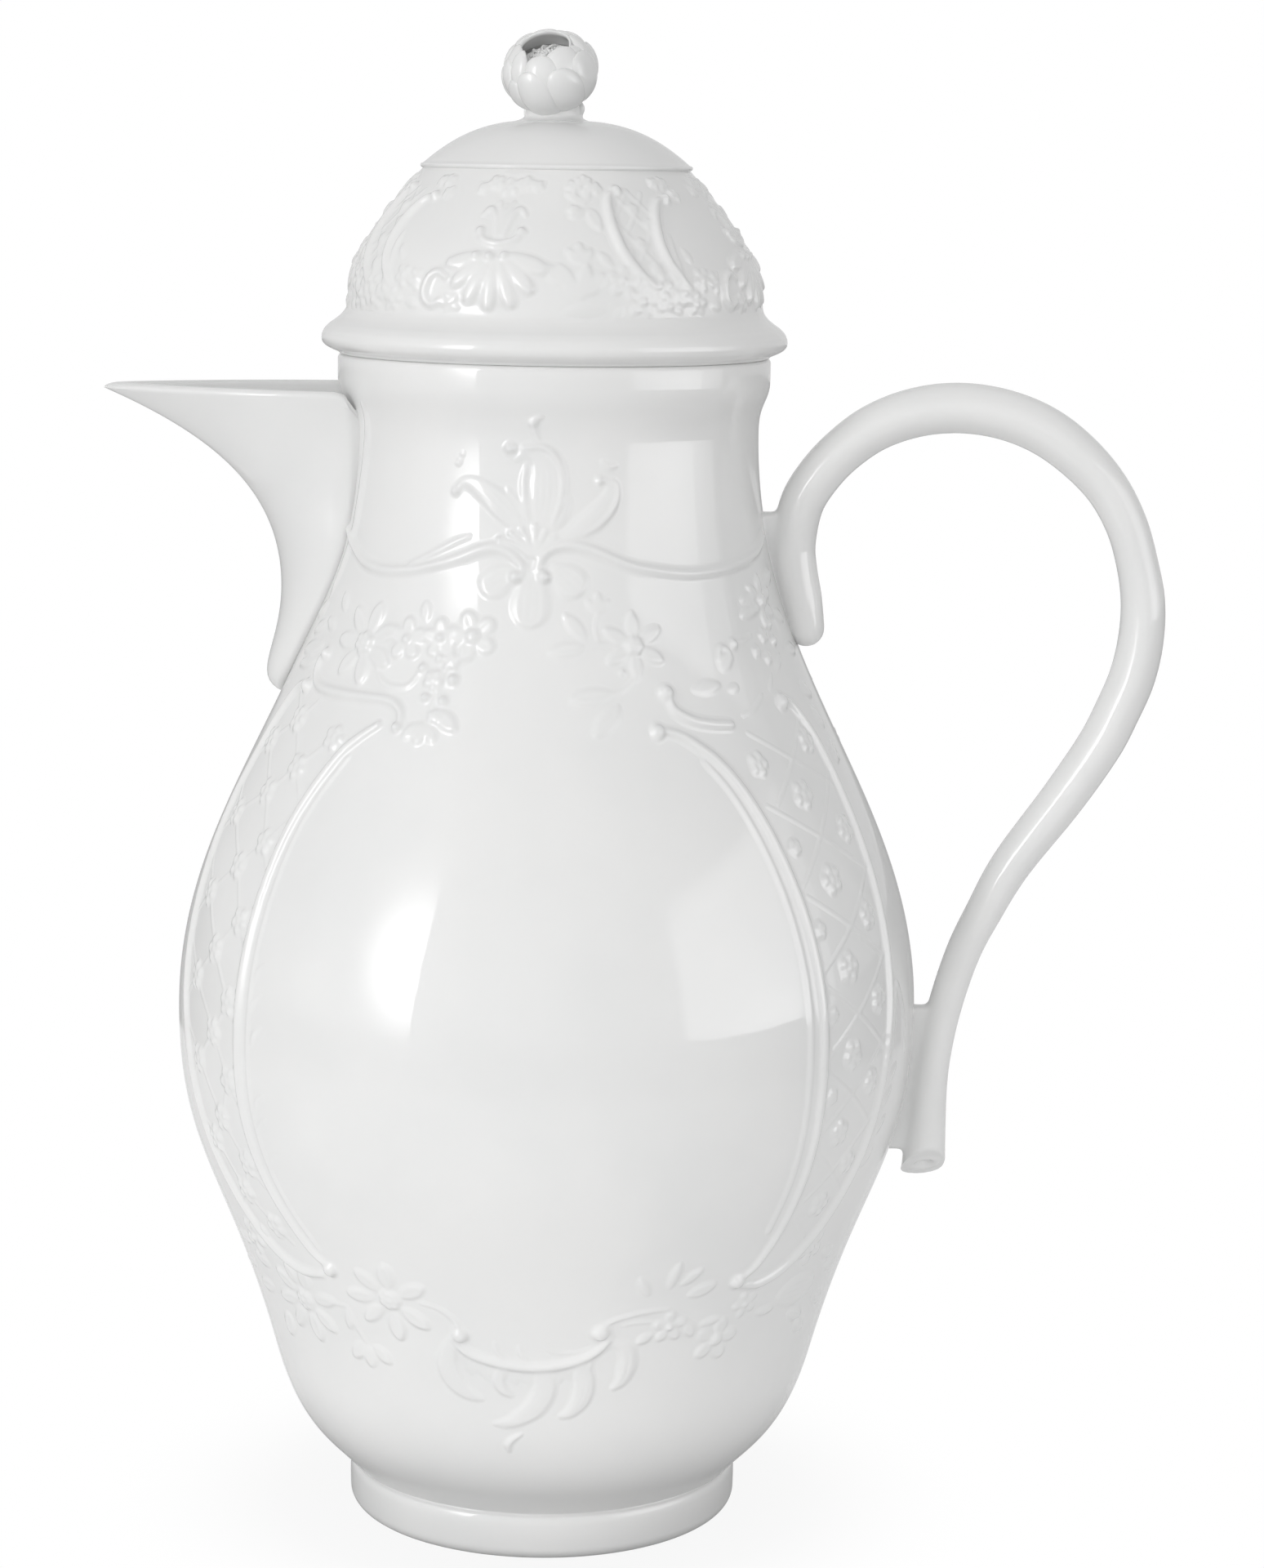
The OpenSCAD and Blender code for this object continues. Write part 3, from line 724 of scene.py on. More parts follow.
class Carving:
    """Heights of ornament over an even grid on a round wall."""

    def __init__(self, side, turns, heights):
        steps = np.hypot(*np.diff(side, axis=0).T)
        self.side_way = np.concatenate([[0.0], np.cumsum(steps)])
        self.side = side
        low, high = (self.way_at(z) for z in heights)
        self.way = np.arange(low, high + CELL, CELL)
        self.z = np.interp(self.way, self.side_way, side[:, 1])
        self.radius = np.interp(self.way, self.side_way, side[:, 0])
        across = math.radians(turns[1] - turns[0]) * float(self.radius.mean())
        self.turn = np.linspace(turns[0], turns[1], max(int(across / CELL), 4))
        self.high = np.zeros((len(self.way), len(self.turn)))

    def way_at(self, z):
        """The way along the wall to a height."""
        return float(np.interp(z, self.side[:, 1], self.side_way))

    def near(self, turn, z, reach):
        """The part of the grid near a place, with the way to the right and up from it."""
        middle = self.way_at(z)
        rows = slice(*np.searchsorted(self.way, (middle - reach, middle + reach)))
        radius = float(np.interp(middle, self.way, self.radius))
        wide = math.degrees(reach / radius) * 1.15
        columns = slice(*np.searchsorted(self.turn, (turn - wide, turn + wide)))
        right = np.radians(self.turn[columns] - turn)[None, :] * self.radius[rows][:, None]
        up = (self.way[rows] - middle)[:, None] + 0 * right
        return (rows, columns), right, up

    def lift(self, window, height):
        """Raises the grid to a height where it is lower."""
        self.high[window] = np.maximum(self.high[window], height)

    def bead(self, turn, z, radius, height):
        """A round bead."""
        window, right, up = self.near(turn, z, radius)
        d = np.clip((right ** 2 + up ** 2) / radius ** 2, 0, 1)
        self.lift(window, height * np.sqrt(1 - d))

    def petal(
            self, turn, z, heading, start, length, width, height, fullness=1.3, tip=0.6, vein=0.2,
            stripes=0
    ):
        """A petal or leaf. It begins at a distance from its place and runs along its heading."""
        window, right, up = self.near(turn, z, abs(start) + length + 0.3)
        c, s = math.cos(math.radians(heading)), math.sin(math.radians(heading))
        along = (right * c + up * s - start) / length
        aside = -right * s + up * c
        inside = (along > 0) & (along < 1)
        t = np.clip(along, 1e-6, 1 - 1e-6)
        half = width / 2 * (1 - (2 * t ** fullness - 1) ** 2) ** tip
        share = np.where(inside, np.abs(aside) / np.maximum(half, 1e-6), 2.0)
        body = np.sqrt(np.clip(1 - share ** 2.6, 0, 1)) * (0.72 + 0.28 * share ** 2) * (0.6 + 0.4 * t)
        body *= 1 - vein * np.exp(-(aside / (0.09 * width + 0.12)) ** 2) * (1 - 0.6 * t)
        if stripes:
            body *= 1 - 0.16 * (1 + np.cos(share * math.pi * stripes)) * (share < 1)
        self.lift(window, height * np.where(share < 1, body, 0.0))

    def flower(
            self, turn, z, radius, petals, heading, height, width=None, fullness=1.2, tip=0.62,
            heart=0.26, vein=0.25
    ):
        """Petals round a heart of small beads."""
        width = width or 1.22 * radius * math.sin(math.pi / petals)
        for i in range(petals):
            self.petal(
                turn, z, heading + 360 * i / petals, 0.14 * radius, 0.86 * radius, width, height,
                fullness, tip, vein
            )
        self.bead(turn, z, heart * radius, height)
        grain = 0.11 * radius
        if radius > 4:
            for i in range(6):
                spot = self.moved(turn, z, 0.17 * radius, heading + 60 * i + 20)
                self.bead(*spot, grain * 1.15, height * 1.28)
            self.bead(turn, z, grain * 1.2, height * 1.4)
        else:
            self.bead(turn, z, heart * radius * 0.8, height * 1.25)

    def moved(self, turn, z, distance, heading):
        """The place at a distance from another one."""
        h = math.radians(heading)
        way = self.way_at(z) + distance * math.sin(h)
        radius = float(np.interp(way, self.side_way, self.side[:, 0]))
        to_right = math.degrees(distance * math.cos(h) / radius)
        return turn + to_right, float(np.interp(way, self.side_way, self.side[:, 1]))

    def rib(self, stations, height, flat=1.0, stripes=0, groove=0.26):
        """A rib or a fluted blade through stations of turn, height and width."""
        line = spline(stations, 8)
        widest = float(np.max(line[:, 2]))
        ways = np.interp(line[:, 1], self.side[:, 1], self.side_way)
        middle_turn, middle_way = float(line[:, 0].mean()), float(ways.mean())
        radius = float(np.interp(middle_way, self.side_way, self.side[:, 0]))
        reach_up = float(np.abs(ways - middle_way).max()) + widest
        reach_across = float(np.abs(line[:, 0] - middle_turn).max()) + math.degrees(widest / radius) * 1.3
        rows = slice(*np.searchsorted(self.way, (middle_way - reach_up, middle_way + reach_up)))
        columns = slice(*np.searchsorted(self.turn, (middle_turn - reach_across, middle_turn + reach_across)))
        turn = np.radians(self.turn[columns])[None, :]
        around = self.radius[rows][:, None]
        up = self.way[rows][:, None]
        # every place takes the nearest stretch of the line and its own share of the half width
        least = np.full((up.shape[0], turn.shape[1]), 1e9)
        away = np.full_like(least, 2.0)
        size = np.zeros_like(least)
        for i in range(len(line) - 1):
            a0, a1 = math.radians(line[i, 0]), math.radians(line[i + 1, 0])
            run_right, run_up = (a1 - a0) * around, ways[i + 1] - ways[i]
            right_0, up_0 = (turn - a0) * around, up - ways[i]
            length = run_right ** 2 + run_up ** 2 + 1e-12
            t = np.clip((right_0 * run_right + up_0 * run_up) / length, 0, 1)
            distance = np.hypot(right_0 - t * run_right, up_0 - t * run_up)
            half = np.maximum((line[i, 2] + t * (line[i + 1, 2] - line[i, 2])) / 2, 0.05)
            nearer = distance < least
            least = np.where(nearer, distance, least)
            away = np.where(nearer, distance / half, away)
            size = np.where(nearer, half, size)
        body = np.clip(1 - away ** 2, 0, 1) ** (0.5 * flat)
        if stripes:
            body = body * (1 - groove / 2 * (1 + np.cos(away * math.pi * stripes)))
        share = np.clip(size / (0.5 * widest), 0, 1)
        self.lift((rows, columns), height * (0.45 + 0.55 * share) * np.where(away < 1, body, 0.0))

    def floret(self, turn, z, radius, height, heading=90, lobes=5):
        """A small blossom of round lobes about a bead."""
        self.bead(turn, z, 0.8 * radius, height * 0.72)
        for i in range(lobes):
            spot = self.moved(turn, z, 0.61 * radius, heading + 360 * i / lobes)
            self.bead(*spot, 0.4 * radius, height * 0.95)
        self.bead(turn, z, 0.27 * radius, height * 1.15)


print("carving grid", CELL, "mm")

# %% [markdown]
# A finished carving becomes a thin closed skin. Cells without ornament are left out, the
# edge of the rest dips just under the wall, so that the skin grows out of it without a
# step, and Solidify gives it a back inside the wall. The far side of the pot carries the
# same ornament mirrored, and the lid the same group four times round.

# %% Wrap a carving on the wall
DIP = 0.03
SKIN = 0.25
SKIRT = 0.55
SKIRT_PASSES = 7
BORDER_CELLS = 5.0
LEAST_HEIGHT = 0.012


def soften(height, passes):
    """Evens out a field of heights as glaze fills its corners."""
    for _ in range(passes):
        wide = np.pad(height, ((1, 1), (0, 0)), mode="edge")
        height = (wide[:-2] + 2 * wide[1:-1] + wide[2:]) / 4
        wide = np.pad(height, ((0, 0), (1, 1)), mode="edge")
        height = (wide[:, :-2] + 2 * wide[:, 1:-1] + wide[:, 2:]) / 4
    return height


def skin_of(carving, name, passes=2):
    """The closed skin of a carving, wrapped on its wall."""
    high = soften(carving.high, passes)
    # a lower, wider copy of the ornament under it is the fillet of glaze round its foot
    high = np.maximum(high, SKIRT * soften(high, SKIRT_PASSES))
    # the ornament fades out towards the border of its grid
    for axis, count in enumerate(high.shape):
        border = np.minimum(np.arange(count), np.arange(count)[::-1])
        fade = np.clip(border / BORDER_CELLS, 0, 1)
        high = high * (fade[:, None] if axis == 0 else fade[None, :])
    out = np.gradient(carving.side, axis=0)
    out /= np.hypot(out[:, 0], out[:, 1])[:, None]
    out_r = np.interp(carving.way, carving.side_way, out[:, 1])
    out_z = np.interp(carving.way, carving.side_way, -out[:, 0])
    lift = high - DIP
    radius = carving.radius[:, None] + lift * out_r[:, None]
    z = carving.z[:, None] + lift * out_z[:, None]
    turn = np.radians(carving.turn)[None, :]
    rows = np.stack([radius * np.sin(turn), -radius * np.cos(turn), z], axis=-1)
    piece = sheet(name, rows)
    # a cell stays if one of its corners carries ornament
    kept = high > LEAST_HEIGHT
    cells = kept[:-1, :-1] | kept[1:, :-1] | kept[:-1, 1:] | kept[1:, 1:]
    flags = ~cells.ravel()
    pick(piece)
    bpy.ops.object.mode_set(mode="EDIT")
    bpy.ops.mesh.select_all(action="DESELECT")
    bpy.ops.mesh.select_mode(type="FACE")
    bpy.ops.object.mode_set(mode="OBJECT")
    piece.data.polygons.foreach_set("select", flags)
    bpy.ops.object.mode_set(mode="EDIT")
    bpy.ops.mesh.delete(type="FACE")
    bpy.ops.mesh.select_mode(type="VERT")
    bpy.ops.object.mode_set(mode="OBJECT")
    apply_modifier(piece, "SOLIDIFY", thickness=SKIN * MM, offset=-1.0, use_rim=True)
    return piece


def copied(piece, name):
    """A copy with a mesh of its own."""
    pick(piece)
    bpy.ops.object.duplicate()
    return named(bpy.context.object, name)


def mirrored(piece, name):
    """A copy on the other side of the pot, turned right side out."""
    copy = copied(piece, name)
    points = read_points(copy)
    points[:, 1] *= -1
    write_points(copy, points)
    bpy.ops.object.mode_set(mode="EDIT")
    bpy.ops.mesh.select_all(action="SELECT")
    bpy.ops.mesh.flip_normals()
    bpy.ops.object.mode_set(mode="OBJECT")
    return copy


def turned(piece, name, degrees):
    """A copy turned round the upright axis."""
    copy = copied(piece, name)
    a = math.radians(degrees)
    points = read_points(copy)
    x = points[:, 0] * math.cos(a) - points[:, 1] * math.sin(a)
    y = points[:, 0] * math.sin(a) + points[:, 1] * math.cos(a)
    write_points(copy, np.stack([x, y, points[:, 2]], axis=1))
    return copy


def dress_both_sides(carving, name):
    """Finishes a carving of the pot at the front and mirrored at the back."""
    front = skin_of(carving, name + "_front")
    back = mirrored(front, name + "_back")
    for piece in (front, back):
        finish(piece, pot_glaze, "pot", "glazed_porcelain")


# %% [markdown]
# ### Neck
# A waved rib runs round the neck from beak to handle. In the middle its two ends curl
# in to beads, and between them grows a palmette: three curled flames over a fan of
# strands, and a trefoil of fluted petals hanging below.

# %% Carve the neck
neck = Carving(pot_side, (-68, 84), (152, 191.5))
neck.rib([
    (-67, 169.6, 1.2), (-63, 168.2, 1.5), (-57, 166.1, 1.6), (-50, 164.3, 1.6), (-41, 163.8, 1.6),
    (-31, 164.6, 1.6), (-21, 166.4, 1.7), (-14, 168.1, 1.8), (-9.5, 168.5, 1.8), (-5.6, 167.4, 1.7),
    (-3.0, 165.6, 1.5), (-3.6, 163.9, 1.2)
], 0.8)
neck.rib([
    (2.6, 163.9, 1.2), (1.0, 165.4, 1.4), (2.2, 167.6, 1.7), (5.4, 169.0, 1.8), (10, 169.1, 1.8),
    (16, 168.1, 1.7), (24, 166.0, 1.6), (33, 164.8, 1.6), (42, 164.2, 1.6), (52, 164.4, 1.6),
    (62, 165.1, 1.6), (72, 166.4, 1.5), (80, 168.4, 1.3)
], 0.8)
neck.rib([(-34, 165.2, 0.8), (-27, 167.2, 1.1), (-21, 169.2, 1.0), (-17, 170.2, 0.5)], 0.45)
for turn, z in ((-4.6, 164.1), (2.4, 164.2)):
    neck.bead(turn, z, 1.1, 1.35)
# fluted trefoil
for turn, z, heading, length, width in (
        (-0.3, 165.6, 268, 9.6, 6.4), (-5.0, 165.8, 222, 6.6, 5.2), (4.2, 166.2, 318, 6.8, 5.4)
):
    neck.petal(turn, z, heading, 0.0, length, width, 0.85, fullness=1.5, tip=0.5, vein=0.0, stripes=5)
# curled flames of the palmette, fluted along their length: left, middle and right
neck.rib([
    (-3.2, 171.2, 1.6), (-6.4, 173.4, 3.2), (-10.0, 175.6, 3.8), (-13.8, 177.4, 3.2),
    (-17.4, 178.5, 2.2), (-20.0, 178.5, 1.4), (-21.9, 177.3, 0.8)
], 0.7, flat=0.45, stripes=4, groove=0.45)
neck.rib([
    (-1.4, 170.8, 1.4), (-3.8, 173.8, 2.4), (-6.4, 176.6, 1.5), (-7.6, 177.8, 0.8)
], 0.5, flat=0.5, stripes=2, groove=0.4)
neck.rib([
    (1.0, 171.0, 1.8), (2.0, 174.4, 4.2), (2.6, 178.0, 5.0), (2.2, 181.0, 4.2), (-0.2, 182.9, 2.4),
    (-3.4, 183.4, 1.5), (-5.4, 182.6, 0.9)
], 0.65, flat=0.4, stripes=5, groove=0.45)
neck.rib([
    (4.4, 172.4, 0.8), (6.4, 176.0, 1.1), (6.9, 179.6, 1.2), (5.2, 182.8, 1.2), (1.4, 184.5, 1.1),
    (-3.6, 184.3, 0.9)
], 0.8)
neck.rib([(-0.8, 171.4, 0.9), (-2.6, 175.0, 1.4), (-3.3, 178.6, 1.3), (-2.8, 181.6, 0.7)], 0.5)
neck.rib([
    (3.2, 170.8, 1.6), (5.6, 173.0, 2.8), (7.6, 175.2, 2.2), (8.8, 176.4, 0.9)
], 0.5, flat=0.5, stripes=3, groove=0.4)
neck.rib([
    (5.4, 170.1, 1.4), (10.6, 171.6, 2.8), (15.2, 173.8, 3.2), (18.4, 176.2, 2.2), (19.6, 178.4, 1.3),
    (17.6, 179.5, 0.9)
], 0.65, flat=0.45, stripes=4, groove=0.45)
neck.rib([
    (12.0, 170.6, 0.7), (17.0, 172.4, 0.9), (20.8, 175.4, 1.0), (21.6, 178.2, 0.8), (20.2, 179.4, 0.5)
], 0.65)
neck.rib([(17.4, 182.4, 0.5), (19.2, 181.4, 0.8), (21.6, 181.7, 0.5)], 0.5)
neck.rib([(0.6, 185.6, 0.5), (-0.6, 187.0, 0.9), (-0.2, 188.8, 1.0), (1.4, 189.2, 0.5)], 0.5)
for turn, z, radius, height in (
        (-7.0, 184.2, 0.95, 1.0), (-1.0, 188.2, 0.75, 0.85), (-22.2, 177.1, 0.7, 0.8),
        (16.8, 179.2, 0.7, 0.8), (-21.6, 181.6, 0.5, 0.5), (-20.4, 183.0, 0.4, 0.4)
):
    neck.bead(turn, z, radius, height)
# fingers between the flames, each with a bead at its tip
for turn, z in ((-9.0, 169.9), (-6.3, 170.8), (-3.4, 171.4), (0.0, 172.1), (2.6, 171.3), (5.0, 170.4)):
    neck.rib([(-0.2 + 0.16 * turn, 167.4, 0.7), (0.5 * turn, (z + 167.8) / 2, 0.9), (turn, z, 1.0)], 0.7)
    neck.bead(turn, z, 0.55, 0.95 if turn < 1 else 0.75)
# a soft band beside the edge of the beak
neck.rib([
    (-58.4, 189.6, 1.0), (-57.6, 186.0, 2.2), (-58.8, 180.0, 2.5), (-60.2, 174.0, 2.5),
    (-61.2, 168.5, 2.3), (-64.6, 162.0, 1.9), (-68.0, 157.6, 1.2)
], 0.42, flat=1.6)
dress_both_sides(neck, "neck_palmette")

# %% [markdown]
# ### Shoulder garlands
# Two loose garlands hang over the top of the cartouche: big open flowers beside the beak
# and the handle, small blossoms and leaves towards the middle, and a scroll under each.

# %% Carve the shoulder on the beak's side
spray_left = Carving(pot_side, (-90, -6), (134.5, 161))
spray_left.flower(-43.0, 152.2, 7.2, 7, 180, 0.8, width=3.2, fullness=1.15, tip=0.72)
spray_left.flower(-30.6, 153.6, 3.7, 5, 20, 0.75)
spray_left.rib([
    (-38.2, 149.4, 0.5), (-34.7, 146.9, 0.8), (-31.4, 146.2, 0.9), (-27.4, 146.7, 0.8),
    (-25.2, 149.2, 0.6)
], 0.4)
spray_left.flower(-21.6, 154.2, 3.3, 5, 100, 0.75)
spray_left.flower(-13.8, 154.8, 4.2, 5, 40, 0.8)
spray_left.petal(-26.4, 156.4, 100, 0.0, 3.6, 2.0, 0.55, fullness=1.0, tip=0.8)
for turn, z, radius, height in (
        (-21.1, 151.2, 0.8, 0.8), (-17.0, 148.1, 0.95, 0.9), (-18.5, 144.9, 0.85, 0.85),
        (-24.8, 149.5, 0.8, 0.8), (-22.7, 145.2, 0.8, 0.8), (-16.0, 151.4, 0.6, 0.6)
):
    spray_left.bead(turn, z, radius, height)
for turn, z, radius in ((-21.6, 147.8, 1.9), (-18.0, 150.8, 1.6), (-19.8, 142.4, 1.3)):
    spray_left.floret(turn, z, radius, 0.75, heading=turn * 7)
spray_left.petal(-19.8, 143.4, 322, 0.0, 5.2, 2.9, 0.75, fullness=1.0, tip=0.72)
for turn, z, heading, length, width, height in (
        (-22.0, 141.6, 262, 4.0, 2.4, 0.7), (-22.6, 141.2, 224, 3.8, 2.2, 0.65),
        (-21.0, 141.4, 298, 3.6, 2.0, 0.6)
):
    spray_left.petal(turn, z, heading, 0.0, length, width, height, fullness=1.1, tip=0.7)
spray_left.rib([(-19.6, 152.6, 0.6), (-19.4, 148.6, 0.7), (-21.0, 143.6, 0.6)], 0.4)
spray_left.rib([
    (-56.6, 149.6, 1.4), (-58.9, 148.2, 1.6), (-58.0, 145.9, 1.7), (-54.0, 144.4, 1.8),
    (-46.0, 144.1, 1.8), (-38.0, 144.2, 1.7), (-31.6, 144.2, 1.6), (-28.2, 143.0, 1.5),
    (-27.4, 141.2, 1.1)
], 0.7)
spray_left.bead(-56.9, 149.4, 1.1, 1.1)
spray_left.bead(-27.8, 140.3, 0.95, 1.0)
for turn, z, heading, length, width in (
        (-60.0, 150.6, 193, 9.5, 2.8), (-62.0, 154.2, 204, 6.0, 2.4), (-61.0, 147.8, 190, 8.0, 2.2),
        (-55.0, 156.4, 120, 3.4, 2.2), (-57.0, 153.4, 160, 4.0, 2.2), (-66.0, 157.0, 215, 5.0, 2.2)
):
    spray_left.petal(turn, z, heading, 0.0, length, width, 0.6, fullness=0.95, tip=0.85)
dress_both_sides(spray_left, "shoulder_flowers_by_beak")

# %% Carve the shoulder on the handle's side
spray_right = Carving(pot_side, (0, 90), (128, 165))
spray_right.flower(23.6, 153.6, 5.7, 6, 90, 0.7, width=2.4, fullness=0.95, tip=0.95)
for turn, z, heading, length, width, height in (
        (12.2, 153.6, 190, 6.0, 2.5, 0.6), (12.4, 154.6, 128, 5.4, 2.4, 0.6),
        (18.0, 146.5, 188, 7.4, 3.0, 0.65), (19.0, 144.8, 228, 7.0, 3.3, 0.65),
        (15.6, 158.8, 90, 3.4, 1.5, 0.6), (15.6, 158.8, 132, 2.8, 1.4, 0.55),
        (15.6, 158.8, 48, 2.8, 1.4, 0.55), (35.8, 146.5, 4, 6.2, 2.3, 0.6),
        (44.8, 149.0, 42, 4.4, 2.9, 0.65), (45.6, 146.0, 8, 2.8, 1.6, 0.5),
        (56.0, 156.8, 10, 6.4, 2.2, 0.7), (57.4, 159.2, 6, 5.6, 2.0, 0.65),
        (72.6, 156.6, 340, 5.6, 2.4, 0.6), (72.0, 161.2, 14, 5.6, 2.2, 0.6),
        (74.4, 144.6, 330, 4.8, 2.6, 0.65), (76.2, 141.0, 300, 4.8, 2.4, 0.6),
        (73.8, 150.6, 350, 5.6, 2.4, 0.6), (64.4, 147.6, 40, 4.4, 1.9, 0.5)
):
    spray_right.petal(turn, z, heading, 0.0, length, width, height, fullness=1.0, tip=0.82)
spray_right.rib([(12.6, 153.6, 0.5), (16.5, 154.0, 0.6), (19.6, 153.6, 0.5)], 0.35)
spray_right.rib([(15.4, 158.6, 0.5), (14.6, 156.8, 0.6), (15.2, 154.4, 0.5)], 0.3)
spray_right.rib([(17.4, 146.4, 0.5), (20.6, 147.2, 0.6), (23.2, 149.2, 0.5)], 0.35)
spray_right.rib([
    (30.0, 145.8, 1.2), (30.9, 143.7, 1.6), (34.6, 142.0, 1.7), (39.0, 141.2, 1.7), (43.8, 140.8, 1.6)
], 0.75)
spray_right.bead(29.6, 146.3, 1.35, 1.1)
spray_right.rib([(44.9, 150.8, 0.6), (46.4, 152.4, 0.9), (48.9, 152.0, 0.8), (49.5, 150.4, 0.5)], 0.55)
spray_right.rib([(52.2, 152.9, 0.6), (55.4, 153.2, 0.7), (58.8, 153.8, 0.5)], 0.4)
spray_right.rib([(48.0, 142.0, 0.5), (52.0, 142.8, 0.6), (56.0, 144.6, 0.5)], 0.35)
spray_right.rib([(59.4, 145.2, 0.5), (60.8, 146.2, 0.6), (62.0, 147.4, 0.4)], 0.35)
spray_right.flower(67.4, 158.6, 4.6, 6, 20, 0.75, width=2.2, fullness=1.0, tip=0.8)
for turn, z, radius in ((63.8, 153.4, 1.5), (59.0, 151.2, 1.2), (63.0, 149.8, 1.2), (78.0, 133.4, 2.2)):
    spray_right.floret(turn, z, radius, 0.5, heading=turn * 5)
for turn, z, radius, height in (
        (51.0, 152.7, 0.95, 0.9), (68.0, 154.8, 0.9, 0.8), (68.2, 152.2, 0.9, 0.8),
        (20.2, 149.6, 0.6, 0.5)
):
    spray_right.bead(turn, z, radius, height)
dress_both_sides(spray_right, "shoulder_flowers_by_handle")

# %% [markdown]
# ### Cartouche and trellis
# The plain oval on each side is held by two ribs, an inner and an outer one, and the
# band between them is filled with a trellis of fine crossed lines. Beside the beak the
# florets sit on the crossings, beside the handle in the middle of each diamond.

# %% Carve the band beside the beak
band_left = Carving(pot_side, (-82, -28), (48, 147))
inner_left = [
    (-32.3, 140.4, 1.3), (-36.4, 138.0, 1.7), (-39.8, 135.2, 1.9), (-43.8, 129.2, 2.0),
    (-46.4, 122.6, 2.0), (-47.7, 114.0, 2.0), (-48.2, 103.0, 2.0), (-48.2, 91.7, 2.0),
    (-47.7, 80.5, 1.9), (-45.7, 70.5, 1.8), (-42.9, 62.8, 1.7), (-38.8, 56.0, 1.5), (-35.6, 53.2, 1.1)
]
band_left.rib(inner_left, 0.72)
band_left.rib([(turn + 2.5, z, 0.9) for turn, z, width in inner_left[2:-1]], 0.28)
band_left.rib([
    (-60.6, 144.2, 1.3), (-63.6, 143.8, 1.6), (-66.4, 142.2, 1.8), (-70.2, 137.0, 2.0),
    (-73.4, 128.0, 2.0), (-73.8, 120.0, 2.0), (-72.0, 110.0, 2.0), (-70.0, 100.0, 2.0),
    (-67.8, 90.0, 2.0), (-64.9, 80.0, 1.9), (-61.2, 70.0, 1.9), (-57.2, 61.4, 2.0), (-53.0, 56.0, 2.1),
    (-48.0, 52.4, 2.1), (-42.6, 50.8, 1.9), (-37.4, 51.2, 1.3)
], 0.78)
band_left.bead(-60.4, 144.0, 1.3, 1.15)
band_left.bead(-35.0, 52.6, 1.35, 1.15)
florets_left = (
    (-58.0, 138.9), (-43.0, 137.4), (-51.0, 132.2), (-57.8, 127.5), (-67.4, 122.6), (-51.8, 120.2),
    (-57.8, 115.6), (-65.7, 110.0), (-51.9, 107.8), (-57.8, 102.2), (-63.4, 96.7), (-51.3, 94.7),
    (-55.5, 89.2), (-51.0, 82.0), (-61.0, 83.5), (-54.1, 75.0), (-48.6, 68.4), (-52.1, 62.9),
    (-46.2, 58.0), (-66.8, 134.6), (-58.0, 70.6)
)
for turn, z in florets_left:
    band_left.floret(turn, z, 2.4, 0.62, heading=90 + 3 * z)


def thin_lines(carving, lines):
    """Fine lines of a trellis through places of turn and height."""
    for line in lines:
        carving.rib([(turn, z, 0.58) for turn, z in line], 0.25, flat=1.4)


thin_lines(band_left, (
    [(-63.0, 143.2), (-58.0, 138.9), (-51.0, 132.2), (-46.4, 127.6)],
    [(-69.6, 137.4), (-66.8, 134.6), (-57.8, 127.5), (-51.8, 120.2), (-48.0, 115.6)],
    [(-73.6, 127.6), (-67.4, 122.6), (-57.8, 115.6), (-51.9, 107.8), (-48.4, 103.6)],
    [(-72.0, 115.2), (-65.7, 110.0), (-57.8, 102.2), (-51.3, 94.7), (-48.4, 91.0)],
    [(-70.0, 102.0), (-63.4, 96.7), (-55.5, 89.2), (-51.0, 82.0), (-48.0, 78.0)],
    [(-67.0, 88.4), (-61.0, 83.5), (-54.1, 75.0), (-48.6, 68.4), (-45.4, 65.0)],
    [(-62.6, 73.6), (-58.0, 70.6), (-52.1, 62.9), (-46.2, 58.0), (-42.6, 55.4)],
    [(-73.6, 130.6), (-66.8, 134.6), (-58.0, 138.9), (-52.6, 142.4)],
    [(-73.4, 118.6), (-67.4, 122.6), (-57.8, 127.5), (-51.0, 132.2), (-43.0, 137.4)],
    [(-70.6, 105.6), (-65.7, 110.0), (-57.8, 115.6), (-51.8, 120.2), (-47.4, 124.0)],
    [(-68.2, 92.2), (-63.4, 96.7), (-57.8, 102.2), (-51.9, 107.8), (-48.4, 111.0)],
    [(-65.0, 79.4), (-61.0, 83.5), (-55.5, 89.2), (-51.3, 94.7), (-48.4, 98.2)],
    [(-61.2, 67.6), (-58.0, 70.6), (-54.1, 75.0), (-51.0, 82.0), (-48.4, 85.6)],
    [(-56.0, 59.4), (-52.1, 62.9), (-48.6, 68.4), (-46.2, 71.6)]))
# little tufts inside the inner rib
for turn, z in ((-44.2, 101.0), (-44.4, 96.0), (-43.8, 91.0), (-43.4, 80.0), (-43.2, 76.0), (-41.8, 70.0)):
    band_left.rib([(turn - 0.8, z - 1.8, 0.4), (turn - 0.3, z + 0.2, 0.8), (turn + 1.4, z + 1.6, 0.4)], 0.3)
dress_both_sides(band_left, "trellis_by_beak")

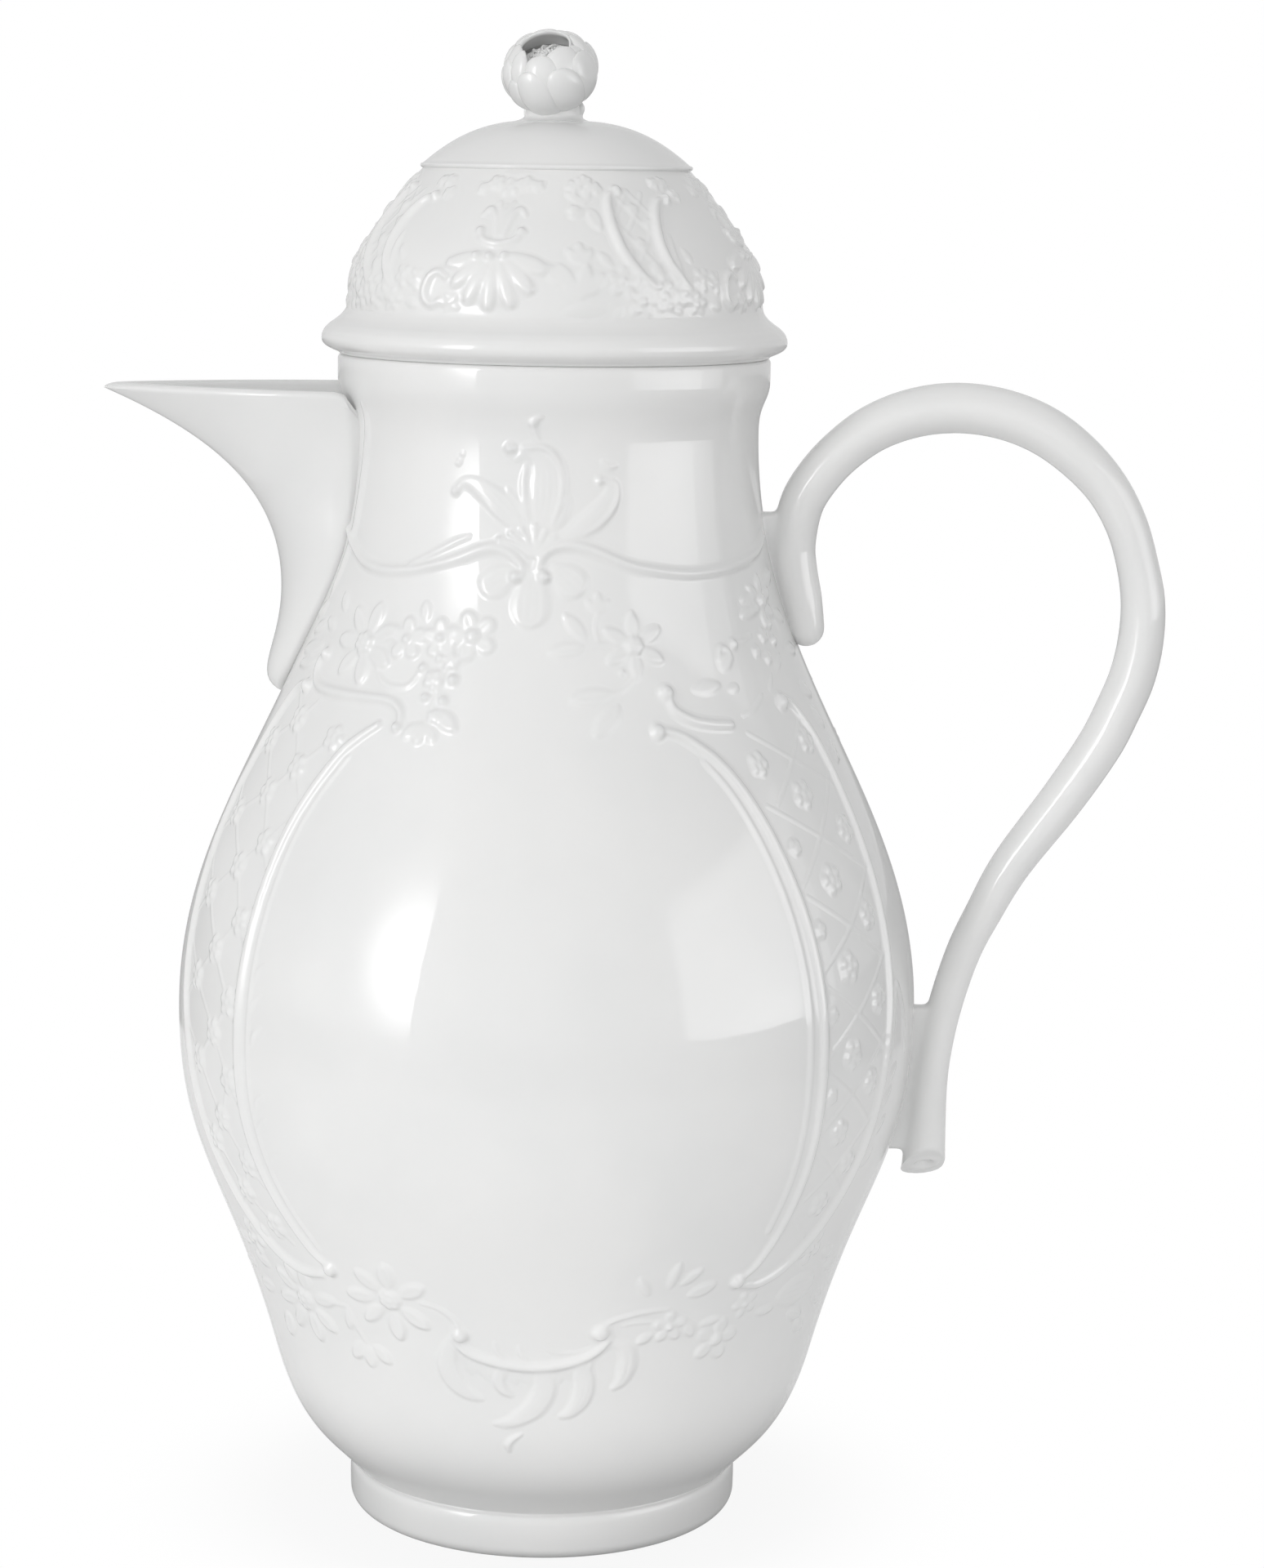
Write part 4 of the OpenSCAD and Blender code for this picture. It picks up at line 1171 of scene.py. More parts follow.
# %% Carve the band beside the handle
band_right = Carving(pot_side, (24, 84), (48, 147))
inner_right = [
    (26.6, 140.8, 1.2), (29.6, 140.4, 1.5), (33.0, 139.0, 1.8), (38.0, 135.8, 2.0), (41.6, 131.8, 2.1),
    (44.5, 126.6, 2.1), (46.6, 120.6, 2.1), (48.3, 113.0, 2.1), (49.2, 105.0, 2.1), (49.6, 96.0, 2.1),
    (49.4, 87.0, 2.1), (48.9, 78.0, 2.0), (47.8, 69.0, 1.9), (45.9, 60.4, 1.7), (43.2, 54.6, 1.4),
    (40.4, 52.2, 1.1)
]
band_right.rib(inner_right, 0.72)
band_right.rib([(turn - 2.7, z, 1.3) for turn, z, width in inner_right[3:-2]], 0.3)
band_right.rib([
    (61.8, 143.2, 1.3), (64.2, 142.9, 1.6), (66.4, 141.8, 1.8), (69.6, 138.0, 2.0), (71.5, 133.0, 2.0),
    (72.1, 125.0, 2.0), (71.5, 115.0, 2.0), (70.3, 105.0, 2.0), (68.9, 95.0, 2.0), (67.0, 85.0, 1.9),
    (64.4, 75.0, 1.9), (61.0, 65.4, 1.9), (57.0, 58.2, 1.9), (51.2, 52.8, 1.9), (45.2, 50.5, 1.7),
    (40.6, 51.0, 1.2)
], 0.78)
band_right.bead(26.3, 140.6, 1.35, 1.15)
band_right.bead(62.0, 143.0, 1.5, 1.15)
band_right.bead(39.6, 51.9, 1.35, 1.15)
for turn, z, radius in (
        (48.0, 134.5, 2.2), (57.6, 129.0, 2.7), (66.0, 136.5, 2.3), (67.4, 122.5, 2.5),
        (57.6, 115.8, 2.7), (65.6, 109.0, 2.4), (57.0, 102.0, 2.7), (64.5, 95.5, 2.3),
        (56.5, 88.0, 2.6), (62.0, 82.4, 2.2), (54.5, 75.4, 2.3), (58.6, 69.4, 2.1), (54.0, 63.0, 2.3),
        (51.4, 108.8, 1.6), (51.6, 95.4, 1.6), (50.6, 121.6, 1.5), (51.6, 82.0, 1.5)
):
    band_right.floret(turn, z, radius, 0.58, heading=90 + 2 * z)
    band_right.bead(turn, z, radius * 0.98, 0.2)
thin_lines(band_right, (
    [(47.6, 139.4), (58.6, 134.4), (70.0, 129.0)], [(46.8, 128.4), (58.4, 122.4), (70.6, 115.6)],
    [(50.2, 114.2), (59.6, 108.2), (69.2, 101.0)], [(50.4, 100.4), (58.4, 94.4), (66.8, 87.0)],
    [(50.4, 86.2), (56.6, 81.4), (63.6, 74.8)], [(50.0, 72.6), (54.6, 68.6), (60.0, 63.6)],
    [(48.4, 61.6), (53.4, 57.2)], [(49.6, 128.2), (58.6, 134.4), (66.6, 139.8)],
    [(49.8, 115.6), (58.4, 122.4), (70.8, 131.6)], [(50.6, 102.2), (59.6, 108.2), (71.2, 116.6)],
    [(50.4, 88.8), (58.4, 94.4), (69.4, 103.0)], [(50.4, 76.4), (56.6, 81.4), (67.0, 89.6)],
    [(49.4, 64.4), (54.6, 68.6), (63.8, 76.4)]
))
# a pointed border that follows the foot of the handle's bridge, with tufts inside it
band_right.rib([
    (76.6, 84.0, 0.6), (75.6, 90.0, 0.8), (72.6, 96.4, 0.9), (70.8, 92.0, 0.9), (69.4, 84.0, 0.7)
], 0.35)
for turn, z, length in ((67.4, 76.6, 4.8), (66.4, 72.0, 4.6), (64.2, 67.0, 4.2), (69.0, 80.2, 4.6)):
    band_right.petal(turn, z, 42, 0.0, length, 1.5, 0.4, fullness=1.0, tip=0.85)
dress_both_sides(band_right, "trellis_by_handle")

# %% [markdown]
# ### Lower garland
# Under the cartouche two garlands meet at a shell: a fringed rib like an open fan, with
# fluted lobes that curl under it and a small drop in the middle.

# %% Carve the lower garland
lower = Carving(pot_side, (-74, 76), (21, 60))
# the two open flowers on the beak's side, petal by petal round their hearts
for turn, z, heading, start, length, width, height in (
        (-23.3, 49.2, 88, 2.0, 5.2, 3.2, 0.75), (-23.3, 49.2, 28, 2.0, 5.6, 2.9, 0.7),
        (-23.3, 49.2, 322, 2.2, 5.6, 2.9, 0.75), (-23.3, 49.2, 274, 2.2, 5.8, 3.1, 0.8),
        (-23.3, 49.2, 222, 2.2, 5.4, 2.7, 0.7), (-23.3, 49.2, 182, 2.8, 5.6, 2.9, 0.7),
        (-23.3, 49.2, 140, 2.2, 5.4, 2.8, 0.65), (-45.0, 44.9, 190, 2.3, 5.9, 2.7, 0.75),
        (-45.0, 44.9, 232, 2.4, 5.4, 2.7, 0.75), (-45.0, 44.9, 280, 2.4, 5.4, 3.4, 0.8),
        (-45.0, 44.9, 322, 2.4, 5.2, 2.9, 0.75), (-45.0, 44.9, 12, 2.6, 5.6, 2.5, 0.7),
        (-45.0, 44.9, 70, 2.2, 4.6, 3.6, 0.6), (-45.0, 44.9, 146, 2.4, 5.4, 3.0, 0.75),
        (-45.0, 44.9, 112, 3.0, 4.2, 2.6, 0.7)
):
    lower.petal(turn, z, heading, start, length, width, height, fullness=1.0, tip=0.72, vein=0.3)
for turn, z in ((-23.3, 49.2), (-45.0, 44.9)):
    lower.bead(turn, z, 2.2, 0.55)
    for k in range(7):
        lower.bead(*lower.moved(turn, z, 1.35, 51.4 * k), 0.5, 0.85)
    lower.bead(turn, z, 0.6, 0.95)
# the flowers and small blossoms on the handle's side
for turn, z, radius, petals, heading, width, height in (
        (27.5, 45.2, 3.1, 5, 20, 1.9, 0.6), (38.2, 41.4, 4.2, 5, 80, 2.7, 0.6),
        (43.2, 47.0, 2.6, 5, 40, 1.6, 0.55), (56.8, 54.4, 3.4, 5, 50, 2.2, 0.65),
        (-57.0, 53.4, 3.4, 5, 60, 2.1, 0.65)
):
    lower.flower(turn, z, radius, petals, heading, height, width=width)
for turn, z, heading, length, width in (
        (-31.6, 39.8, 232, 4.4, 2.6), (-30.6, 39.4, 270, 4.2, 2.6), (-29.2, 39.8, 312, 4.2, 2.6),
        (-33.4, 46.0, 262, 4.6, 1.7), (-54.6, 48.6, 168, 5.4, 2.6), (-56.8, 44.4, 190, 6.0, 2.8),
        (-53.4, 40.4, 244, 5.2, 3.6), (-60.6, 51.4, 172, 5.4, 2.4), (-63.4, 47.0, 186, 5.4, 2.6),
        (-50.4, 53.6, 110, 3.8, 2.0), (22.6, 51.4, 118, 4.6, 1.6), (26.0, 52.2, 78, 5.6, 1.7),
        (28.0, 52.8, 40, 4.6, 1.8), (29.8, 50.6, 20, 5.4, 2.6), (30.6, 45.8, 300, 3.6, 2.0),
        (24.6, 44.2, 210, 3.2, 1.8), (33.6, 44.6, 12, 4.0, 1.6), (57.2, 42.4, 340, 5.6, 2.4),
        (61.8, 39.6, 330, 4.6, 2.2), (46.6, 44.6, 0, 4.4, 1.7), (47.0, 50.4, 40, 4.0, 1.9),
        (62.0, 52.6, 340, 5.0, 2.4), (66.4, 48.8, 350, 5.2, 2.6), (66.6, 43.6, 330, 5.2, 2.4)
):
    lower.petal(turn, z, heading, 0.0, length, width, 0.62, fullness=1.0, tip=0.76)
lower.petal(51.6, 46.4, 2, 0.0, 10.6, 6.4, 0.7, fullness=1.0, tip=0.6, vein=0.0, stripes=5)
lower.rib([(-17.6, 49.4, 0.5), (-14.2, 48.8, 0.7), (-11.6, 47.0, 0.8), (-10.6, 45.2, 0.9)], 0.42)
lower.rib([(14.8, 46.2, 0.8), (17.2, 47.4, 0.8), (21.6, 48.3, 0.7), (27.0, 48.6, 0.5)], 0.4)
lower.rib([(18.4, 46.2, 0.4), (21.4, 46.6, 0.6), (25.0, 46.4, 0.4)], 0.3)
lower.rib([(-33.4, 46.2, 0.5), (-37.0, 46.0, 0.6)], 0.3)
lower.rib([(-33.4, 45.6, 0.5), (-32.4, 42.6, 0.7), (-30.8, 39.8, 0.5)], 0.35)
lower.bead(-10.7, 44.2, 1.4, 1.15)
lower.bead(14.7, 45.1, 1.45, 1.15)
# the fan's rib and the fine line over it
lower.rib([
    (-12.4, 43.6, 0.9), (-10.0, 41.3, 1.5), (-6.0, 39.9, 1.8), (0.0, 39.0, 1.9), (6.0, 39.1, 1.9),
    (11.0, 40.2, 1.8), (14.4, 41.8, 1.5), (16.6, 44.0, 0.9)
], 0.75)
lower.rib([(4.6, 43.2, 0.4), (6.2, 41.8, 0.6), (10.0, 41.5, 0.6), (13.6, 42.6, 0.4)], 0.28)
for turn, z in ((-3.6, 40.6), (0.9, 40.2)):
    lower.rib([(turn + 0.8, z, 0.6), (turn - 0.5, z + 1.0, 0.8), (turn - 0.8, z + 2.8, 0.4)], 0.4)
for k in range(26):
    turn = -9.6 + 0.92 * k
    top = 38.9 + 0.012 * (turn - 2) ** 2
    lower.rib([
        (turn, top, 0.55), (turn - 0.15, top - 1.6, 0.55),
        (turn - 0.3, top - 2.8 - 0.5 * math.sin(2.1 * k), 0.4)
    ], 0.36)
# fluted lobes that curl under the rib
for stations, stripes in (
        ([
            (-12.8, 42.2, 2.4), (-13.8, 38.8, 3.4), (-12.9, 35.8, 3.4), (-10.6, 33.6, 2.4),
            (-7.6, 32.6, 1.1)
        ], 4),
        ([(-3.2, 38.6, 1.4), (-4.0, 36.4, 2.0), (-3.2, 34.6, 1.7), (-1.6, 33.6, 0.9)], 2),
        ([
            (4.4, 38.4, 2.8), (4.8, 35.0, 3.8), (3.2, 31.8, 3.7), (0.2, 29.6, 3.0), (-2.6, 28.4, 2.0),
            (-4.9, 28.2, 1.0)
        ], 5),
        ([
            (11.4, 39.4, 2.4), (12.4, 36.0, 3.3), (11.8, 32.8, 3.1), (10.0, 30.6, 2.1), (8.0, 29.7, 1.0)
        ], 4),
        ([
            (17.6, 43.2, 1.4), (20.0, 41.4, 2.6), (20.4, 38.4, 3.0), (19.6, 36.0, 2.2),
            (18.2, 34.7, 1.1)
        ], 3)
):
    lower.rib(stations, 0.62, flat=0.45, stripes=stripes, groove=0.5)
lower.rib([(0.2, 26.4, 0.5), (-1.6, 25.4, 1.0), (-2.6, 24.2, 1.2), (-2.4, 23.0, 0.6)], 0.55)
dress_both_sides(lower, "lower_garland")

# %% [markdown]
# ### Lid
# The band round the lid repeats four times: a shell with seven flutes under a bow and
# two curled leaves, a tulip, a spray of blossoms, and an hourglass panel of trellis
# between two bowed ribs. A small garland hangs under the edge of the crown.

# %% Carve one quarter of the lid
quarter = Carving(lid_side, (-37, 56), (RIM_Z + 7.3, LEDGE_Z))
SHELL = -12.4
for heading, length, width in (
        (200, 8.8, 2.5), (222, 9.4, 2.4), (244, 9.8, 2.4), (266, 10.0, 2.5), (289, 10.0, 2.5),
        (312, 9.6, 2.6), (336, 9.2, 2.9)
):
    quarter.petal(SHELL, 215.0, heading, 1.0, length - 1.0, width, 1.05, fullness=1.8, tip=0.5, vein=0.0)
for turn, z in ((-18.2, 213.9), (-14.3, 213.8), (-10.0, 214.0)):
    quarter.bead(turn, z, 0.75, 1.3)
quarter.rib([
    (-18.8, 217.6, 0.9), (-17.2, 216.4, 1.2), (-12.4, 215.8, 1.4), (-7.8, 216.4, 1.2),
    (-6.2, 217.6, 0.9)
], 0.8)
quarter.bead(-19.0, 217.8, 0.75, 0.9)
quarter.bead(-6.0, 217.8, 0.75, 0.9)
for side in (-1, 1):
    quarter.rib([
        (SHELL + 1.2 * side, 216.8, 0.8), (SHELL + 2.4 * side, 219.6, 1.2),
        (SHELL + 5.0 * side, 221.2, 1.1), (SHELL + 7.2 * side, 220.2, 0.6)
    ], 0.65)
    quarter.rib([
        (SHELL + 0.6 * side, 217.0, 0.6), (SHELL + 0.9 * side, 220.0, 0.9),
        (SHELL + 2.6 * side, 222.4, 0.6)
    ], 0.5)
quarter.rib([(SHELL, 217.0, 0.6), (SHELL, 220.2, 0.8), (SHELL, 222.0, 0.4)], 0.5)
# small garland and the pointed drop of the crown's edge
for turn, z, radius in (
        (-23.0, 224.3, 1.2), (-18.6, 225.3, 1.5), (-12.8, 224.6, 2.0), (-7.0, 225.2, 1.5),
        (-2.6, 224.8, 1.2)
):
    quarter.floret(turn, z, radius, 0.6, heading=turn * 9)
quarter.rib([
    (-26.0, 225.3, 0.4), (-20.0, 224.6, 0.6), (-12.5, 223.8, 0.6), (-5.0, 224.6, 0.6), (0.5, 225.4, 0.4)
], 0.35)
quarter.petal(-11.6, 227.2, 270, -0.6, 2.2, 4.6, 0.5, fullness=0.8, tip=1.1, vein=0.0)
# curl beside the shell
quarter.rib([
    (-26.0, 210.4, 0.9), (-29.0, 211.4, 1.3), (-32.0, 210.2, 1.5), (-32.6, 207.6, 1.5),
    (-30.0, 206.2, 1.3), (-27.4, 207.2, 0.8)
], 0.8)
quarter.petal(-21.4, 211.8, 150, 0.0, 3.6, 2.0, 0.7, fullness=1.0, tip=0.7)
# tulip over a long leaf
for turn, z, heading, length, width in (
        (11.2, 213.2, 90, 3.8, 1.8), (10.6, 213.0, 122, 3.4, 1.6), (11.8, 213.0, 58, 3.4, 1.6),
        (9.8, 208.2, 118, 6.0, 2.6), (6.4, 209.8, 132, 4.6, 2.4), (11.0, 207.6, 76, 6.0, 2.6),
        (12.6, 208.2, 48, 5.0, 2.4)
):
    quarter.petal(turn, z, heading, -0.3, length, width, 0.65, fullness=1.05, tip=0.72)
quarter.petal(19.0, 207.0, 194, 0.0, 8.4, 2.2, 0.6, fullness=1.0, tip=0.8, stripes=2)
quarter.petal(18.6, 206.4, 206, 0.0, 6.2, 1.6, 0.5, fullness=1.0, tip=0.8)
# blossoms along the foot of the dome
for turn, z, radius in (
        (23.0, 210.4, 2.7), (28.4, 207.2, 3.0), (33.6, 209.6, 2.4), (36.4, 206.4, 2.6),
        (41.4, 208.4, 2.2), (48.6, 210.6, 2.0), (54.2, 210.2, 2.0), (45.4, 206.6, 2.2),
        (-24.6, 206.6, 1.9)
):
    quarter.flower(turn, z, radius, 5, 13 * turn, 0.65, width=0.66 * radius)
for turn, z, heading, length, width in (
        (20.4, 212.4, 128, 3.4, 1.6), (25.2, 212.6, 74, 3.4, 1.6), (22.6, 206.4, 240, 3.0, 1.6),
        (31.4, 205.4, 320, 2.8, 1.5), (46.4, 213.0, 120, 3.2, 1.5), (50.4, 206.6, 350, 3.4, 1.6),
        (38.6, 210.6, 60, 3.0, 1.5)
):
    quarter.petal(turn, z, heading, 0.0, length, width, 0.5, fullness=1.0, tip=0.8)
# hourglass panel
quarter.rib([
    (26.0, 224.2, 0.9), (22.8, 223.0, 1.4), (21.9, 219.6, 1.8), (24.0, 215.0, 1.8), (27.8, 211.8, 1.6),
    (32.0, 209.4, 1.2)
], 0.85)
quarter.rib([
    (46.0, 223.0, 1.0), (41.6, 222.4, 1.5), (38.0, 219.9, 1.8), (36.7, 216.2, 1.8), (38.4, 212.8, 1.6),
    (42.4, 209.8, 1.2)
], 0.85)
quarter.bead(26.6, 224.3, 0.95, 1.0)
quarter.bead(46.4, 223.0, 0.95, 1.0)
quarter.rib([(41.0, 217.6, 0.4), (40.4, 214.9, 0.9), (41.8, 211.6, 0.5)], 0.45)
thin_lines(quarter, (
    [(25.0, 223.8), (37.0, 216.6)], [(23.4, 219.4), (36.2, 211.4)], [(26.4, 213.4), (33.0, 209.4)],
    [(30.6, 224.4), (38.4, 219.8)], [(36.8, 224.0), (24.0, 216.4)], [(31.2, 224.4), (23.4, 220.2)],
    [(37.2, 219.6), (27.0, 212.2)], [(36.8, 214.4), (30.4, 209.8)]
))
for turn, z in ((30.8, 221.6), (29.8, 216.2), (33.2, 212.2), (35.0, 219.2)):
    quarter.floret(turn, z, 1.1, 0.45)
# spray beside the panel and berries on its far side
for turn, z, heading, length, width in (
        (14.6, 222.4, 80, 3.4, 1.6), (14.6, 222.0, 140, 4.0, 1.7), (15.2, 221.6, 290, 4.6, 2.4),
        (14.2, 221.4, 214, 3.4, 1.6)
):
    quarter.petal(turn, z, heading, 0.0, length, width, 0.6, fullness=1.0, tip=0.8)
for turn, z, radius in (
        (11.0, 224.8, 1.4), (15.0, 225.6, 1.4), (18.6, 224.6, 1.3), (10.2, 221.2, 1.1),
        (49.0, 225.4, 1.4), (52.4, 223.6, 1.4), (45.0, 225.4, 1.2)
):
    quarter.floret(turn, z, radius, 0.6, heading=turn * 11)
lid_quarter = skin_of(quarter, "lid_garland_1")
for k in range(1, 4):
    finish(turned(lid_quarter, f"lid_garland_{k + 1}", 90 * k), lid_glaze, "lid", "lid_porcelain")
finish(lid_quarter, lid_glaze, "lid", "lid_porcelain")

# %% [markdown]
# ## Rosebud knob
# The knob is an opening rosebud laid up by hand: a hollow cup on a short stem, petals
# pressed on it in three rows like roof tiles, and a heap of crumbs in its mouth for the
# stamens. The bud leans to the front. It is built round its own middle, where a place is
# a turn round the bud and an angle down from its mouth, and is then leaned over.

# %% The bud's own axes
BUD_MIDDLE = np.array((-1.2, -1.5, 243.05))
BUD_R = 6.75
BUD_SQUASH = 0.95
PETAL_CELLS = 16
PETAL_FULLNESS = 1.3
bud_up = unit([-0.105, -0.577, 1.0])
bud_side = unit(np.array([1.0, 0.0, 0.0]) - bud_up[0] * bud_up)
bud_back = np.cross(bud_up, bud_side)


def bud_places(turn, down, radius):
    """Points from turns round the bud, angles from its mouth and distances from its middle."""
    t, d = np.radians(turn), np.radians(down)
    side, front, up = np.sin(d) * np.sin(t), -np.sin(d) * np.cos(t), np.cos(d) * BUD_SQUASH
    way = side[..., None] * bud_side + front[..., None] * bud_back + up[..., None] * bud_up
    return BUD_MIDDLE + radius[..., None] * way


def bud_petal(name, tip, root, half, out, bulge, blunt, dish, thick, levels, stands_for):
    """A plump petal from its root to its tip. Its edges tuck in against the bud."""
    along = np.linspace(0.0, 1.0, PETAL_CELLS + 1)[:, None]
    across = np.linspace(-1.0, 1.0, PETAL_CELLS + 1)[None, :]
    # the width runs out to nothing at the tip, so that the petal ends in an arc
    width = half * (1 - np.clip(2 * along ** PETAL_FULLNESS - 1, 0, 1) ** 2.2) ** blunt
    width = width * (0.74 + 0.26 * np.sin(np.pi * np.clip(along * 0.9 + 0.1, 0, 1)))
    down = root[1] + (tip[1] - root[1]) * along + 0 * across
    turn = root[0] + (tip[0] - root[0]) * along
    turn = turn + across * np.degrees(width / ((BUD_R + out) * np.sin(np.radians(np.clip(down, 18, 162)))))
    dome = (1 - np.abs(across) ** 2.6) * (1 - 0.75 * np.clip(2 * along - 1, 0, 1) ** 5)
    radius = BUD_R + out * (0.35 + 0.65 * along) + bulge * dome * (0.55 + 0.45 * np.sin(np.pi * along ** 0.8))
    radius = radius - dish * np.exp(-((along - 0.62) / 0.26) ** 2 - (across / 0.5) ** 2)
    radius = radius - 0.35 * np.abs(across) ** 5
    piece = sheet(name, bud_places(turn, down, radius))
    apply_modifier(piece, "SOLIDIFY", thickness=thick * MM, offset=-1.0, use_rim=True)
    apply_modifier(piece, "SUBSURF", levels=levels, render_levels=levels)
    finish(piece, lid_glaze, "lid", "lid_porcelain", *stands_for)


print("bud leans", round(math.degrees(math.acos(bud_up[2])), 1), "degrees")

# %% Lay the petals, the lowest row outermost
outer_row = (
    ((-21, 59), (-6, 134), 3.85, 0.95, 0.85), ((20.5, 57.5), (36, 127), 3.85, 1.15, 0.9),
    ((64, 49.5), (71, 125), 4.4, 0.9, 0.85), ((-46, 76), (-52, 130), 2.5, 0.75, 0.6),
    ((112, 60), (112, 128), 3.3, 0.9, 0.8), ((152, 60), (150, 130), 3.5, 1.0, 0.8),
    ((-166, 60), (-162, 128), 3.4, 0.9, 0.8), ((-124, 62), (-124, 130), 3.5, 1.0, 0.8),
    ((-88, 76), (-88, 130), 2.9, 0.8, 0.7)
)
middle_row = (
    ((-74, 57), (-64, 112), 2.8, 0.6, 0.65), ((-7, 37), (-2, 96), 3.4, 0.5, 0.75),
    ((-53, 34.5), (-42, 92), 2.2, 0.45, 0.55), ((106, 54), (98, 98), 2.3, 0.55, 0.6),
    ((138, 44), (138, 96), 3.4, 0.5, 0.7), ((-176, 40), (-176, 96), 3.5, 0.45, 0.7),
    ((-138, 42), (-138, 96), 3.4, 0.5, 0.7), ((-102, 46), (-98, 96), 3.0, 0.45, 0.65)
)
inner_row = (
    ((38, 29), (40, 82), 3.5, 0.2, 0.7), ((112, 34), (88, 84), 2.5, 0.2, 0.7),
    ((-84, 35), (-76, 84), 2.9, 0.1, 0.6), ((72, 37), (72, 84), 2.0, 0.05, 0.5),
    ((146, 33), (144, 80), 3.2, 0.1, 0.6), ((-172, 28.5), (-170, 80), 3.4, 0.15, 0.6),
    ((-126, 34), (-124, 80), 3.2, 0.1, 0.6)
)
rows = {"outer_petal": outer_row, "middle_petal": middle_row, "inner_petal": inner_row}
for row_name, row in rows.items():
    for i, (tip, root, half, out, bulge) in enumerate(row):
        pointed = row_name == "middle_petal" and i == 2
        dished = row_name == "outer_petal" and i == 2
        bud_petal(
            f"{row_name}_{i + 1}", tip, root, half, out, bulge,
            blunt=0.85 if pointed else 0.42,
            dish=0.45 if dished else 0.0,
            thick=0.7 if row_name == "inner_petal" else 0.9,
            levels=1 if row_name == "inner_petal" and i > 0 else 2,
            stands_for=(row_name + "s",) if i == 0 else (),
        )

# %% [markdown]
# The far side of the mouth is one thin smooth lip: the innermost petal, pressed on last,
# wraps round more than half of the bud. Its edge stands lower at the sides.

# %% Wrap the innermost petal round the mouth
edge = spline([
    (58, 38.0), (98, 32.5), (143, 31.0), (168, 25.6), (192, 24.8), (237, 32.5), (272, 36.0), (292, 41.0)
], 10)
turn = edge[:, 0][None, :]
share = np.linspace(0.0, 1.0, 15)[:, None]
down = edge[:, 1][None, :] + (66 - edge[:, 1][None, :]) * share
reach = BUD_R + 0.1 - 1.2 * share ** 0.36 + 0 * turn
lip = sheet("inner_petal_lip", bud_places(turn + 0 * share, down, reach))
apply_modifier(lip, "SOLIDIFY", thickness=0.4 * MM, offset=-1.0, use_rim=True)
apply_modifier(lip, "SUBSURF", levels=1, render_levels=1)
finish(lip, lid_glaze, "lid", "lid_porcelain")

# %% [markdown]
# ### Cup, stem and stamens
# The cup that carries the petals is thrown hollow, so it is spun from one line, out and
# back in. The stem is a short round foot that the glaze fillets into the dome. Three
# small sepals curl up beside it. The stamens are clay pushed through a sieve: a heap of
# crumbs that melt together, which a voxel remesh of many small beads gives.

# %% Spin the cup and the stem
def lean_over(piece, lift=0.0):
    """Moves a form made upright round the origin to the bud's own axes."""
    points = read_points(piece)
    height = points[:, 2:] + lift
    write_points(piece, BUD_MIDDLE + points[:, :1] * bud_side + points[:, 1:2] * bud_back + height * bud_up)
    return piece


def cup_arc(radius, first, last, step):
    """The cup's line between two angles from its mouth."""
    angles = [math.radians(d) for d in range(first, last, step)]
    return [(radius * math.sin(a), radius * BUD_SQUASH * math.cos(a)) for a in angles]


CUP_IN_R = BUD_R - 0.9
outside = [(0.0, -BUD_R * BUD_SQUASH)] + cup_arc(BUD_R, 176, 50, -4)
inside = cup_arc(CUP_IN_R, 56, 176, 6) + [(0.0, -CUP_IN_R * BUD_SQUASH)]
cup = lean_over(spun("bud_cup_wall", outside + [(5.1, 4.05), (4.8, 3.95)] + inside, 72))
finish(cup, lid_glaze, "lid", "lid_porcelain", "bud_cup", sharp=60)
stem_line = chained(
    [(0.0, CROWN_TOP - 0.8), (STEM_R + 2.5, CROWN_TOP - 0.8)],
    bezier(
        (STEM_R + 2.5, CROWN_TOP - 0.3), (STEM_R + 1.1, CROWN_TOP + 0.04),
        (STEM_R + 0.35, CROWN_TOP + 0.25), (STEM_R + 0.2, CROWN_TOP + 0.9), 10
    ),
    bezier(
        (STEM_R + 0.2, CROWN_TOP + 0.9), (STEM_R + 0.1, CROWN_TOP + 2.0), (STEM_R, CROWN_TOP + 2.8),
        (STEM_R - 0.5, CROWN_TOP + 4.0), 8
    ),
    [(0.0, CROWN_TOP + 4.2)],
)
stem = spun("bud_stem", stem_line, 96)
write_points(stem, read_points(stem) + (STEM_X, 0.0, 0.0))
finish(stem, lid_glaze, "lid", "lid_porcelain", "knob_stem", sharp=60)


# %% Curl the sepals and heap the stamens
def plump_strand(name, path, radii, count=16):
    """A round strand along points, with its own radius at each."""
    path, radii = np.asarray(path, float), np.asarray(radii, float)
    run = np.gradient(path, axis=0)
    run /= np.linalg.norm(run, axis=1)[:, None]
    across = np.cross(run, (0.0, 0.0, 1.0) if abs(run[0][2]) < 0.9 else (0.3, 1.0, 0.0))
    across /= np.linalg.norm(across, axis=1)[:, None]
    over = np.cross(run, across)
    a = np.linspace(0, 2 * math.pi, count + 1)
    rings = path[:, None] + radii[:, None, None] * (
        across[:, None] * np.cos(a)[None, :, None] + over[:, None] * np.sin(a)[None, :, None]
    )
    piece = sheet(name, rings)
    weld_outwards(piece)
    close_ends(piece)
    return piece


